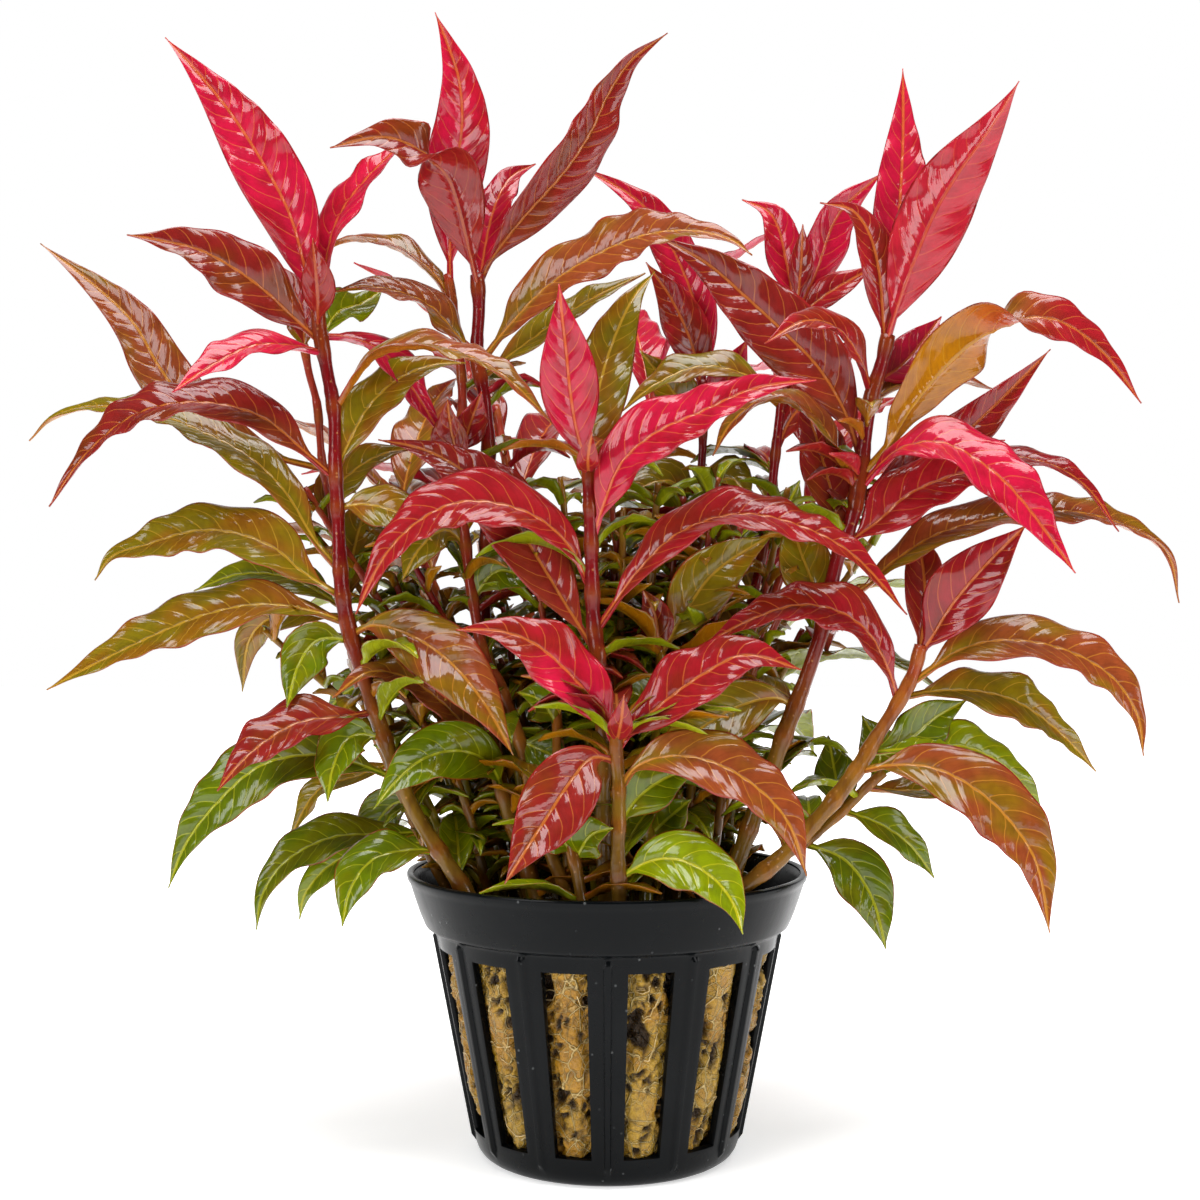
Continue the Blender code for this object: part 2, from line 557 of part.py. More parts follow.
def blade_half_width(share, width):
    """Half the leaf's width at a share of its length: a narrow stalk, a long lance and a drawn-out tip."""
    if share <= PETIOLE_SHARE:
        return PETIOLE_WIDTH / 2
    along = (share - PETIOLE_SHARE) / (1 - PETIOLE_SHARE)
    lance = math.sin(math.pi * along ** 0.82) ** 1.15
    least = PETIOLE_WIDTH + (TIP_WIDTH - PETIOLE_WIDTH) * along
    return max(width / 2 * lance, least / 2)


def leaf_object(name, line, normal_at, width, tone, where, large):
    """A leaf blade along a line, whose upper side faces normal_at(share)."""
    least, most = LARGE_STATIONS if large else SMALL_STATIONS
    columns = 2 if large else 1
    fold = LARGE_FOLD if large else 0
    along = lengths_along(line)
    stations = min(max(round(along[-1] / STATION_SPACING), least), most)
    bm = bmesh.new()
    bmesh.ops.create_grid(bm, x_segments=columns, y_segments=stations, size=1)
    for vert in bm.verts:
        side = vert.co.x
        share = (vert.co.y + 1) / 2
        wanted = share * along[-1]
        forward = tangent_at(line, along, wanted, along[-1] / stations / 2)
        hint = normal_at(share)
        upper = (hint - forward * hint.dot(forward)).normalized()
        across = forward.cross(upper)
        half = blade_half_width(share, width)
        centre = at_length(line, along, wanted)
        vert.co = centre + across * (half * side) + upper * (half * abs(side) * fold)
    mesh = bpy.data.meshes.new(name)
    bm.to_mesh(mesh)
    bm.free()
    obj = add_object(name, mesh, where, tone)
    shell = obj.modifiers.new("thickness", "SOLIDIFY")
    shell.thickness = LEAF_THICKNESS
    shell.offset = 0
    return obj


def facing(up, aside):
    """The direction of a leaf's upper side from its two angles in degrees."""
    up = math.radians(up)
    aside = math.radians(aside)
    return Vector((math.sin(aside), -math.cos(up) * math.cos(aside), math.sin(up) * math.cos(aside)))


def sighted_leaf(name, leaf, axis, where):
    """A leaf read off the photograph, joined to its stem or standing just off it."""
    first = Vector(leaf.route[0][:2])
    foot = axis.nearest(first, pixel_of)
    axis.joints.append(foot)
    joint = axis.point(foot)
    base_depth = -joint.y / MM
    count = len(leaf.route) - 1
    points = []
    for i in range(1, count + 1):
        px, py, *nearer = leaf.route[i]
        points.append(seen(px, py, base_depth + leaf.reach * i / count + sum(nearer)))
    start = joint
    if leaf.own:
        upward = tangent_at(axis.line, axis.along, foot)
        out = points[0] - joint
        out = (out - upward * out.dot(upward)).normalized()
        start = joint + out * (axis.radius(foot) * NODE_SWELL + GAP + LEAF_THICKNESS)
    line = smooth_line([start] + points)
    tip_face = leaf.tip_face or leaf.face

    def normal_at(share):
        turn = min(max((share - TWIST_FROM) / (TWIST_TO - TWIST_FROM), 0), 1)
        turn = turn * turn * (3 - 2 * turn)
        up = leaf.face[0] + (tip_face[0] - leaf.face[0]) * turn
        return facing(up, leaf.face[1] + (tip_face[1] - leaf.face[1]) * turn)

    return leaf_object(name, line, normal_at, leaf.width * MM, leaf.tone, where, leaf.own)


def stem_object(name, axis, tone, sides, where):
    """A stem as a tapering tube that swells where its leaves join it."""
    total = axis.along[-1]
    pieces = max(round(total / STEM_SPACING), 3)
    stations = {0.0: 1.0, total: 1.0}
    for foot in sorted(axis.joints):
        if all(abs(foot - other) > STEM_SPACING_LEAST for other in stations):
            stations[foot] = NODE_SWELL
    for i in range(1, pieces):
        wanted = total * i / pieces
        if all(abs(wanted - other) > STEM_SPACING_LEAST for other in stations):
            stations[wanted] = 1.0
    curve = bpy.data.curves.new(name, "CURVE")
    curve.dimensions = "3D"
    curve.bevel_depth = 1
    curve.bevel_resolution = sides // 2 - 2
    curve.use_fill_caps = True
    spline = curve.splines.new("POLY")
    spline.points.add(len(stations) - 1)
    for point, (wanted, swell) in zip(spline.points, sorted(stations.items())):
        point.co = (*axis.point(wanted), 1)
        point.radius = axis.radius(wanted) * swell
    guide = bpy.data.objects.new(name + "_guide", curve)
    where.objects.link(guide)
    mesh = evaluated_mesh(guide)
    bpy.data.objects.remove(guide, do_unlink=True)
    mesh.name = name
    return add_object(name, mesh, where, tone)


def join_leaves(stem, leaves):
    """Make the stem and its small leaves one body."""
    if not leaves.objects:
        return
    union = stem.modifiers.new("leaves", "BOOLEAN")
    union.operation = "UNION"
    union.operand_type = "COLLECTION"
    union.collection = leaves
    union.solver = "EXACT"


def rooted(points):
    """The points of a stem with its foot carried on down to the medium, behind the rim."""
    down = points[0] - points[1]
    share = (PLUG_TOP + GAP - points[0].z) / down.z
    return [points[0] + down * share] + points


def sighted_plant(where, helpers):
    """Every stem and leaf that the photograph shows."""
    for name, stem in STEMS.items():
        axis = Axis(rooted([seen(*place) for place in stem.route]), stem.radii)
        small = bpy.data.collections.new(name + "_small_leaves")
        helpers.children.link(small)
        own = 0
        for number, leaf in enumerate(LEAVES[name], 1):
            own += leaf.own
            if leaf.own:
                sighted_leaf(f"{name}_leaf_{own}", leaf, axis, where)
            else:
                make_helper(sighted_leaf(f"{name}_small_leaf_{number}", leaf, axis, small))
        join_leaves(stem_object(name, axis, stem.tone, stem.sides, where), small)


def shoot_axis(shoot):
    """A hidden shoot's axis: it leaves the medium upright and leans outwards as it climbs."""
    turn = math.radians(shoot.azimuth)
    outward = Vector((math.sin(turn), -math.cos(turn), 0))
    lean = math.tan(math.radians(shoot.lean))
    foot = PLUG_TOP + GAP
    points = []
    for i in range(5):
        share = i / 4
        rise = (shoot.height * MM - foot) * share
        points.append(outward * (shoot.foot * MM + rise * lean * share) + Vector((0, 0, foot + rise)))
    return Axis(points, (shoot.radius, shoot.radius * 0.65))


def shoot_leaf(shoot, number, axis):
    """The line of a hidden shoot's leaf, the direction of its upper side, and its tone."""
    share = number / (shoot.leaf_count - 1)
    foot = axis.along[-1] * (FIRST_LEAF_SHARE + (0.98 - FIRST_LEAF_SHARE) * share)
    axis.joints.append(foot)
    swing = (shoot.turn + number * GOLDEN_ANGLE) % 360 - 180
    azimuth = math.radians(shoot.azimuth + swing * LEAF_SPREAD / 180)
    outward = Vector((math.sin(azimuth), -math.cos(azimuth), 0))
    first_rise = math.radians(LOW_LEAF_RISE[0] + (HIGH_LEAF_RISE[0] - LOW_LEAF_RISE[0]) * share)
    last_rise = math.radians(LOW_LEAF_RISE[1] + (HIGH_LEAF_RISE[1] - LOW_LEAF_RISE[1]) * share)
    low, high = shoot.leaf_length
    length = (low + (high - low) * math.sin(math.pi * (0.15 + 0.7 * share))) * MM
    steps = 12
    points = [axis.point(foot)]
    for i in range(steps):
        rise = first_rise + (last_rise - first_rise) * i / (steps - 1)
        step = outward * math.cos(rise) + Vector((0, 0, math.sin(rise)))
        points.append(points[-1] + step * (length / steps))

    def normal_at(along):
        rise = first_rise + (last_rise - first_rise) * along
        return Vector((0, 0, math.cos(rise))) - outward * math.sin(rise)

    tone = shoot.leaf_tones[0] if share < 0.5 else shoot.leaf_tones[1]
    return points, normal_at, tone


def hidden_plant(where, helpers):
    """The shoots that fill the middle and the back of the pot."""
    for name, shoot in SHOOTS.items():
        axis = shoot_axis(shoot)
        small = bpy.data.collections.new(name + "_small_leaves")
        helpers.children.link(small)
        for number in range(shoot.leaf_count):
            line, normal_at, tone = shoot_leaf(shoot, number, axis)
            leaf_name = f"{name}_small_leaf_{number + 1}"
            width = shoot.leaf_width * MM
            make_helper(leaf_object(leaf_name, line, normal_at, width, tone, small, False))
        join_leaves(stem_object(name, axis, shoot.tone, 4, where), small)


def turned(name, profile, steps, where, tone):
    """A solid turned about Z from a profile of (radius, height) that runs down its outer side."""
    mesh = bpy.data.meshes.new(name)
    edges = [(i, i + 1) for i in range(len(profile) - 1)]
    mesh.from_pydata([(r, 0, z) for r, z in profile], edges, [])
    obj = add_object(name, mesh, where, tone)
    spin = obj.modifiers.new("turn", "SCREW")
    spin.steps = steps
    spin.render_steps = steps
    spin.use_merge_vertices = True
    spin.merge_threshold = 1e-6
    return obj


def body_radius(height):
    """The pot's outer radius between its foot and its collar."""
    share = (height - BODY_LOW[1]) / (BODY_TOP[1] - BODY_LOW[1])
    return BODY_LOW[0] + (BODY_TOP[0] - BODY_LOW[0]) * share


def add_slot_cutter(bm, angle):
    """A wedge through the pot's wall, of the same angle from top to bottom."""
    made = bmesh.ops.create_cube(bm, size=1)
    inner = BODY_LOW[0] - SLOT_CUT[0]
    outer = RIM_RADIUS + SLOT_CUT[1]
    for vert in made["verts"]:
        radius = outer if vert.co.x > 0 else inner
        turn = angle + math.copysign(SLOT_ANGLE / 2, vert.co.y)
        height = SLOT_HIGH if vert.co.z > 0 else SLOT_LOW
        vert.co = (radius * math.sin(turn), -radius * math.cos(turn), height)


def add_rib(bm, angle):
    """A thin rib down the outside of one bar, from the collar to the foot."""
    made = bmesh.ops.create_cube(bm, size=1)
    high = BODY_TOP[1] + RIB_BITE
    for vert in made["verts"]:
        height = high if vert.co.z > 0 else BODY_LOW[1]
        side = math.copysign(RIB_WIDTH / 2, vert.co.y)
        radius = body_radius(height) + (RIB_PROUD if vert.co.x > 0 else -POT_WALL / 2)
        vert.co = (
            radius * math.sin(angle) + side * math.cos(angle),
            -radius * math.cos(angle) + side * math.sin(angle),
            height,
        )


def helper_from(name, build, where):
    """A helper object whose bmesh is built once for each bar or slot."""
    bm = bmesh.new()
    for i in range(SLOT_COUNT):
        build(bm, i)
    bm.normal_update()
    bmesh.ops.recalc_face_normals(bm, faces=bm.faces)
    mesh = bpy.data.meshes.new(name)
    bm.to_mesh(mesh)
    bm.free()
    obj = add_object(name, mesh, where, "pot")
    make_helper(obj)
    return obj


def pot(where, helpers):
    """The net pot: foot, slotted tapering body with ribs, collar and thin rim."""
    low_r, low_z = BODY_LOW
    top_r, top_z = BODY_TOP
    collar_r, collar_z = COLLAR_LOW
    profile = [
        (RIM_RADIUS - RIM_LIP, POT_HEIGHT),
        (RIM_RADIUS, POT_HEIGHT),
        (RIM_RADIUS - RIM_BEVEL[0], POT_HEIGHT - RIM_BEVEL[1]),
        (collar_r, collar_z),
        (top_r, top_z),
        (low_r, low_z),
        (low_r - FOOT_ROUND[0], FOOT_ROUND[1]),
        (FOOT_RADIUS, 0),
        (0, 0),
        (0, POT_WALL),
        (low_r - POT_WALL - FLOOR_INSET, POT_WALL),
        (low_r - POT_WALL, low_z),
        (top_r - POT_WALL, top_z - COLLAR_DROP),
        (RIM_RADIUS - RIM_LIP, POT_HEIGHT),
    ]
    obj = turned("pot", profile, POT_STEPS, where, "pot")
    pitch = 2 * math.pi / SLOT_COUNT
    ribs = helper_from("pot_ribs", lambda bm, i: add_rib(bm, pitch * i), helpers)
    slots = helper_from("pot_slots", lambda bm, i: add_slot_cutter(bm, pitch * (i + 0.5)), helpers)
    for name, operation, other in (("ribs", "UNION", ribs), ("slots", "DIFFERENCE", slots)):
        change = obj.modifiers.new(name, "BOOLEAN")
        change.operation = operation
        change.object = other
        change.solver = "EXACT"
    return obj


def growing_medium(where):
    """The fibrous plug that fills the pot, a little smaller than the room inside it."""
    low_r, low_z = BODY_LOW
    top_r, top_z = BODY_TOP
    inside = POT_WALL + PLUG_GAP
    foot = POT_WALL + GAP
    crown_share, crown_drop = PLUG_CROWN
    (foot_inset, foot_rise), floor_inset = PLUG_FOOT
    profile = [
        (0, PLUG_TOP),
        (PLUG_TOP_RADIUS * crown_share, PLUG_TOP - crown_drop),
        (PLUG_TOP_RADIUS, PLUG_TOP - PLUG_SHOULDER),
        (top_r - inside, top_z - PLUG_UNDER_COLLAR),
        ((top_r + low_r) / 2 - inside - PLUG_WAIST, (top_z + low_z) / 2),
        (low_r - inside - foot_inset, low_z + foot_rise),
        (low_r - inside - floor_inset, foot),
        (0, foot),
    ]
    return turned("growing_medium", profile, PLUG_STEPS, where, "medium")


def main():
    """Build the potted plant."""
    clear_scene()
    parts = collection(COLLECTION)
    helpers = collection("helpers")
    helpers.hide_render = True
    pot(parts, helpers)
    growing_medium(parts)
    sighted_plant(parts, helpers)
    hidden_plant(parts, helpers)


if __name__ == "__main__":
    main()
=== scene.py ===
"""Visual model of a red-leaved persicaria growing in a slotted net pot.

Metres, +Z up. The origin is the centre of the pot's underside, and the plant's front looks along -Y.
"""

import logging
import math
from collections.abc import Callable
from dataclasses import dataclass, field
from enum import Enum

import bmesh
import bpy
import numpy as np
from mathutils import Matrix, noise


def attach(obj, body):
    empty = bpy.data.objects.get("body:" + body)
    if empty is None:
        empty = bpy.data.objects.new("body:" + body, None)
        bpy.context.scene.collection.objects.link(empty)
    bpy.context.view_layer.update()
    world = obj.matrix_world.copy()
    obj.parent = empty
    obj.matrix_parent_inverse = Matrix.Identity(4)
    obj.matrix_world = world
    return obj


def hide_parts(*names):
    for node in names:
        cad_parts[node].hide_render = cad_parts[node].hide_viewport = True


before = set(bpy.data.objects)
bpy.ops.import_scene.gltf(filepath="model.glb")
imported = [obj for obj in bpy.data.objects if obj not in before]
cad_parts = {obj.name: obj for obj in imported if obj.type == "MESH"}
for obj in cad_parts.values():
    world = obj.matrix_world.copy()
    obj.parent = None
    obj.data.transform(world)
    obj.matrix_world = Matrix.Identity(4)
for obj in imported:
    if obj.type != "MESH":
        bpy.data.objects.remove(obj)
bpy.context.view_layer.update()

logging.basicConfig(level=logging.INFO, format="%(message)s")
LOG = logging.getLogger("persicaria")

MM = 0.001
ROOT = "root"
SLOTS = 13
SLOT_HALF_ANGLE = math.radians(7.45)
UP = np.array([0.0, 0.0, 1.0])
Rgb = tuple[float, float, float]
Xyz = tuple[float, float, float]
Span = tuple[float, float]
Rng = np.random.Generator
Fed = dict[str | int, object]


class Tone(Enum):
    """The leaf colours, from the youngest tips down to the oldest leaves."""

    PINK = "leaf_pink"
    CRIMSON = "leaf_crimson"
    DARK_RED = "leaf_dark_red"
    BRONZE = "leaf_bronze"
    OLIVE = "leaf_olive"
    GREEN = "leaf_green"
    LIME = "leaf_lime"


PINK, CRIMSON, DARK_RED, BRONZE, OLIVE, GREEN, LIME = Tone


class StemTone(Enum):
    """The stem colours."""

    RED = "stem_red"
    PEACH = "stem_peach"
    GREEN = "stem_green"


@dataclass(frozen=True)
class LeafPalette:
    """The linear colours of one tone of leaf. The underside colour is partly the underside's own tone and
    partly a painted glow of light shining through the leaf.
    """

    blade: Rgb
    blotch: Rgb
    rib: Rgb
    under: Rgb


@dataclass(frozen=True)
class StemPalette:
    """The linear colours of one tone of stem, low and high on the plant, and of its swollen joints."""

    low: Rgb
    high: Rgb
    joint: Rgb


PALETTES = {
    PINK: LeafPalette((0.50, 0.006, 0.038), (0.33, 0.004, 0.010), (0.56, 0.11, 0.025), (0.58, 0.020, 0.070)),
    CRIMSON: LeafPalette((0.30, 0.008, 0.013), (0.19, 0.016, 0.002), (0.5, 0.12, 0.022), (0.46, 0.013, 0.03)),
    DARK_RED: LeafPalette((0.23, 0.012, 0.009), (0.17, 0.035, 0.002), (0.46, 0.13, 0.02), (0.3, 0.01, 0.012)),
    BRONZE: LeafPalette((0.25, 0.050, 0.012), (0.20, 0.120, 0.001), (0.50, 0.20, 0.02), (0.38, 0.11, 0.006)),
    OLIVE: LeafPalette((0.19, 0.140, 0.002), (0.26, 0.085, 0.003), (0.46, 0.26, 0.02), (0.40, 0.13, 0.001)),
    GREEN: LeafPalette((0.105, 0.150, 0.000), (0.17, 0.16, 0.000), (0.36, 0.36, 0.01), (0.24, 0.27, 0.003)),
    LIME: LeafPalette((0.21, 0.265, 0.000), (0.13, 0.18, 0.000), (0.48, 0.44, 0.01), (0.36, 0.40, 0.01)),
}
# The tone that each tone of leaf takes on towards its base
BASE_TONES = {PINK: CRIMSON, CRIMSON: DARK_RED, DARK_RED: BRONZE, BRONZE: OLIVE, OLIVE: BRONZE, GREEN: OLIVE,
              LIME: GREEN}
STEM_PALETTES = {
    StemTone.RED: StemPalette((0.19, 0.098, 0.008), (0.17, 0.003, 0.005), (0.24, 0.05, 0.004)),
    StemTone.PEACH: StemPalette((0.21, 0.095, 0.009), (0.33, 0.035, 0.016), (0.30, 0.10, 0.008)),
    StemTone.GREEN: StemPalette((0.19, 0.15, 0.004), (0.22, 0.09, 0.004), (0.32, 0.20, 0.006)),
}


@dataclass(frozen=True)
class Stem:
    """Radii in mm at the base and the top, and a route of (photo x, photo y, mm towards the eye) going up."""

    tone: StemTone
    radii: Span
    route: tuple[tuple[float, ...], ...]


@dataclass(frozen=True)
class Leaf:
    """A leaf read off the photograph, its route of photo pixels running from base to tip.

    width is in mm. face is (up, aside) in degrees: 0, 0 turns the upper side to the eye, up 90 turns it
    to the sky, up 180 shows the underside, and aside turns it to the right. reach is how many mm the
    tip lies nearer the eye than the base, and a route's third value adds to that at one point.
    tip_face and tip_tone are those of the outer half, where the leaf twists or changes tone.
    """

    tone: Tone
    width: float
    face: Span
    reach: float
    route: tuple[tuple[float, ...], ...]
    tip_face: Span | None = None
    tip_tone: Tone | None = None


@dataclass(frozen=True)
class Shoot:
    """A shoot that the photograph hides: azimuth from the front, in degrees towards +X, and sizes in mm."""

    azimuth: float
    foot: float
    height: float
    lean: float
    radius: float
    tone: StemTone
    leaf_tones: tuple[Tone, Tone]
    leaf_length: Span
    leaf_width: float
    leaf_count: int
    turn: float


STEMS = {
    "left_stem": Stem(StemTone.RED, (1.05, 0.8), ((457, 878, 14), (417, 816, 13), (394, 765, 12),
        (368, 690, 11), (349, 629, 10), (342, 590, 10), (338, 517, 9), (335, 463, 9), (334, 410, 8),
        (327, 371, 8), (319, 326, 8), (318, 307, 8))),
    "tall_stem": Stem(StemTone.RED, (1.0, 0.85), ((530, 876, 9), (520, 845, 8), (504, 795, 7), (490, 740, 6),
        (484, 690, 5), (484, 600, 3), (488, 520, 2), (489, 460, 1), (485, 400, 1), (477, 357, 0),
        (479, 306, 0), (477, 275, 0))),
    "slim_stem": Stem(StemTone.PEACH, (0.8, 0.6), ((562, 880, 14), (545, 840, 13), (532, 790, 11),
        (518, 735, 10), (500, 685, 9), (484, 655, 8), (472, 593, 6), (467, 555, 5), (463, 522, 4),
        (461, 450, 2), (462, 383, -1), (453, 306, -3), (448, 275, -4))),
    "front_stem": Stem(StemTone.RED, (1.05, 0.8), ((605, 868, 16), (603, 784, 16), (605, 749, 16),
        (602, 700, 16), (598, 657, 16), (594, 627, 15), (592, 581, 15), (591, 530, 15), (589, 479, 15),
        (588, 455, 15))),
    "bud_stem": Stem(StemTone.RED, (0.95, 0.7), ((619, 889, 23), (618, 850, 23), (619, 784, 22),
        (616, 748, 22), (618, 728, 22))),
    "right_stem": Stem(StemTone.RED, (1.1, 0.85), ((735, 868, 12), (756, 810, 12), (770, 775, 12),
        (784, 735, 12), (802, 689, 11), (813, 658, 11), (822, 629, 11), (838, 557, 10), (852, 519, 10),
        (860, 478, 9), (864, 445, 9), (871, 399, 9), (882, 363, 9), (888, 335, 9))),
    "far_right_stem": Stem(StemTone.PEACH, (1.1, 0.8), ((742, 888, 18), (779, 859, 17), (807, 830, 16),
        (830, 805, 16), (858, 768, 15), (876, 738, 14), (895, 708, 13), (913, 675, 12), (921, 645, 12))),
    "back_right_stem": Stem(StemTone.RED, (0.8, 0.6), ((672, 866, 4), (700, 790, 0), (725, 720, -3),
        (748, 620, -7), (768, 520, -10), (778, 430, -12), (787, 360, -13), (797, 305, -13))),
    "left_low_shoot": Stem(StemTone.GREEN, (0.75, 0.5), ((476, 873, 2), (440, 835, 0), (415, 790, -2),
        (395, 740, -4), (384, 690, -6))),
    "left_side_shoot": Stem(StemTone.PEACH, (0.65, 0.5), ((438, 872, 4), (395, 780, 1), (360, 690, 0),
        (345, 600, 0), (331, 510, 1), (322, 460, 1), (317, 404, 1), (309, 373, 1), (304, 345, 1))),
    "small_front_shoot": Stem(StemTone.PEACH, (0.85, 0.5), ((580, 889, 20.5), (574, 858, 20), (563, 815, 18),
        (557, 770, 15), (557, 720, 12), (556, 690, 10))),
    "centre_shoot": Stem(StemTone.GREEN, (0.75, 0.5), ((648, 884, 15), (650, 830, 13), (655, 760, 11),
        (656, 700, 9), (661, 650, 8))),
    "back_middle_shoot": Stem(StemTone.RED, (0.75, 0.55), ((655, 862, -8), (672, 760, -12), (684, 620, -15),
        (692, 545, -16), (702, 460, -17), (703, 380, -17))),
    "right_side_shoot": Stem(StemTone.PEACH, (0.75, 0.55), ((765, 868, 8), (800, 846, 7), (838, 815, 6),
        (868, 786, 6), (884, 772, 6))),
}

# Leaves with solids of their own, in the order of their numbers
LEAVES = {
    "left_stem": (
        Leaf(PINK, 8.8, (10, 0), 0, ((316, 322), (305, 268), (290, 215), (266, 168), (232, 115), (200, 75),
            (165, 37))),
        Leaf(DARK_RED, 8.6, (25, 0), 9, ((316, 345), (290, 314), (270, 295), (240, 272), (200, 250),
            (160, 240), (127, 234))),
        Leaf(PINK, 6.6, (45, 0), 16, ((320, 352), (293, 345), (255, 345), (217, 362), (172, 391))),
        Leaf(DARK_RED, 9.0, (45, 0), 9, ((333, 478), (309, 455), (260, 416), (199, 402), (140, 412),
            (89, 450), (48, 506)), (60, 0)),
        Leaf(OLIVE, 9.0, (38, 0), 2, ((338, 598), (300, 570), (276, 549), (235, 533), (195, 531), (145, 545),
            (112, 556), (94, 580))),
        Leaf(OLIVE, 8.6, (42, 0), 8, ((346, 624), (310, 610), (260, 604), (204, 615), (150, 637), (90, 666),
            (46, 689))),
        Leaf(BRONZE, 8.6, (10, 0), 12, ((352, 632), (375, 625), (414, 637), (452, 664), (486, 706),
            (513, 755))),
        Leaf(DARK_RED, 7.8, (45, 0), 12, ((370, 710), (345, 716), (300, 722), (264, 742), (238, 765),
            (217, 790))),
        Leaf(GREEN, 9.0, (28, 0), 2, ((386, 785), (351, 762), (310, 755), (260, 766), (215, 805), (185, 845),
            (168, 888))),
        Leaf(BRONZE, 7.6, (68, 0), 8, ((338, 405), (350, 380), (372, 355), (405, 345), (450, 349), (500, 372),
            (553, 422))),
    ),
    "tall_stem": (
        Leaf(DARK_RED, 8.6, (180, 0), 10, ((474, 286), (468, 245), (458, 205), (446, 174), (425, 153),
            (385, 137), (330, 147)), (15, 0)),
        Leaf(DARK_RED, 7.4, (0, 40), -3, ((479, 290), (490, 262), (520, 222), (566, 170), (592, 130),
            (608, 95), (632, 60), (668, 33))),
        Leaf(BRONZE, 9.2, (35, 0), 16, ((480, 366), (505, 330), (545, 288), (590, 258), (640, 236),
            (690, 230), (730, 239), (752, 254))),
        Leaf(BRONZE, 7.6, (55, 0), 6, ((472, 358), (455, 332), (432, 307), (400, 292), (365, 286),
            (334, 290))),
        Leaf(GREEN, 8.0, (15, 0), 14, ((505, 795), (490, 765), (462, 751), (425, 758), (395, 782),
            (374, 808))),
    ),
    "slim_stem": (
        Leaf(PINK, 8.4, (0, 5), 4, ((448, 290), (450, 240), (454, 180), (462, 125), (459, 80), (447, 42),
            (435, 12))),
    ),
    "front_stem": (
        Leaf(PINK, 7.6, (0, 0), 4, ((586, 470), (577, 432), (570, 390), (566, 350), (562, 315), (559, 284))),
        Leaf(PINK, 8.6, (35, 0), 8, ((593, 545), (604, 503), (622, 462), (655, 433), (700, 412), (755, 388),
            (816, 379))),
        Leaf(CRIMSON, 8.4, (52, 0), 5, ((595, 632), (612, 606), (640, 568), (680, 532), (735, 514),
            (790, 522), (850, 552), (908, 614))),
        Leaf(CRIMSON, 8.8, (40, 0), 4, ((592, 592), (572, 550), (543, 521), (505, 505), (460, 502),
            (420, 520), (385, 555), (355, 614))),
        Leaf(DARK_RED, 9.0, (25, 0), -7, ((597, 655), (568, 608), (540, 562), (505, 508), (465, 472),
            (425, 450), (378, 439))),
    ),
    "bud_stem": (
        Leaf(CRIMSON, 8.4, (35, 0), 2, ((618, 750), (632, 730), (665, 701), (705, 673), (745, 655),
            (802, 669))),
        Leaf(PINK, 8.4, (35, 0), 1, ((615, 748), (598, 708), (570, 674), (535, 644), (500, 631),
            (456, 629)), tip_tone=CRIMSON),
        Leaf(DARK_RED, 8.8, (10, 0), 12, ((613, 762), (592, 758), (570, 782), (545, 820), (525, 851),
            (505, 883))),
        Leaf(BRONZE, 8.6, (38, 0), 6, ((621, 790), (637, 766), (670, 756), (712, 762), (755, 786), (788, 822),
            (807, 876))),
        Leaf(LIME, 8.0, (30, 0), 7, ((622, 880), (650, 861), (680, 860), (712, 877), (733, 903), (743, 934))),
    ),
    "right_stem": (
        Leaf(CRIMSON, 9.4, (180, 10), 8, ((887, 345), (900, 300), (915, 260), (934, 215), (957, 175),
            (982, 140), (1002, 110), (1019, 81)), (160, 10)),
        Leaf(PINK, 7.2, (0, 0), -9, ((888, 340), (896, 270), (900, 200), (903, 140), (903, 68))),
        Leaf(DARK_RED, 9.8, (0, 0), -5, ((860, 462), (845, 412), (818, 367), (785, 333), (745, 296),
            (705, 262), (655, 235))),
        Leaf(OLIVE, 8.8, (150, 0), 4, ((868, 475), (887, 445), (908, 410), (945, 365), (985, 332),
            (1022, 318), (1062, 322), (1104, 353), (1142, 403)), (25, 0), CRIMSON),
        Leaf(PINK, 9.0, (50, 0), 12, ((862, 488), (882, 462), (905, 446), (940, 442), (975, 458), (1015, 492),
            (1076, 573)), (20, 0)),
        Leaf(CRIMSON, 9.0, (35, 0), 3, ((848, 548), (878, 521), (905, 497), (940, 480), (975, 474),
            (1006, 510))),
        Leaf(BRONZE, 7.8, (55, 0), -8, ((832, 602), (862, 588), (895, 560), (940, 533), (1000, 517),
            (1070, 511), (1130, 527), (1167, 552), (1180, 603))),
    ),
    "far_right_stem": (
        Leaf(CRIMSON, 8.4, (0, -20), 4, ((918, 660), (930, 640), (952, 605), (985, 566), (1027, 524))),
        Leaf(BRONZE, 8.6, (45, 0), 4, ((911, 686), (930, 669), (960, 650), (1003, 640), (1060, 648),
            (1110, 675), (1137, 714), (1144, 756))),
        Leaf(BRONZE, 9.2, (28, 0), 9, ((862, 776), (890, 765), (930, 767), (968, 784), (1005, 815),
            (1036, 862), (1050, 933))),
        Leaf(CRIMSON, 8.4, (48, 0), 5, ((900, 702), (888, 668), (868, 632), (838, 611), (798, 605),
            (752, 619), (703, 644))),
    ),
}

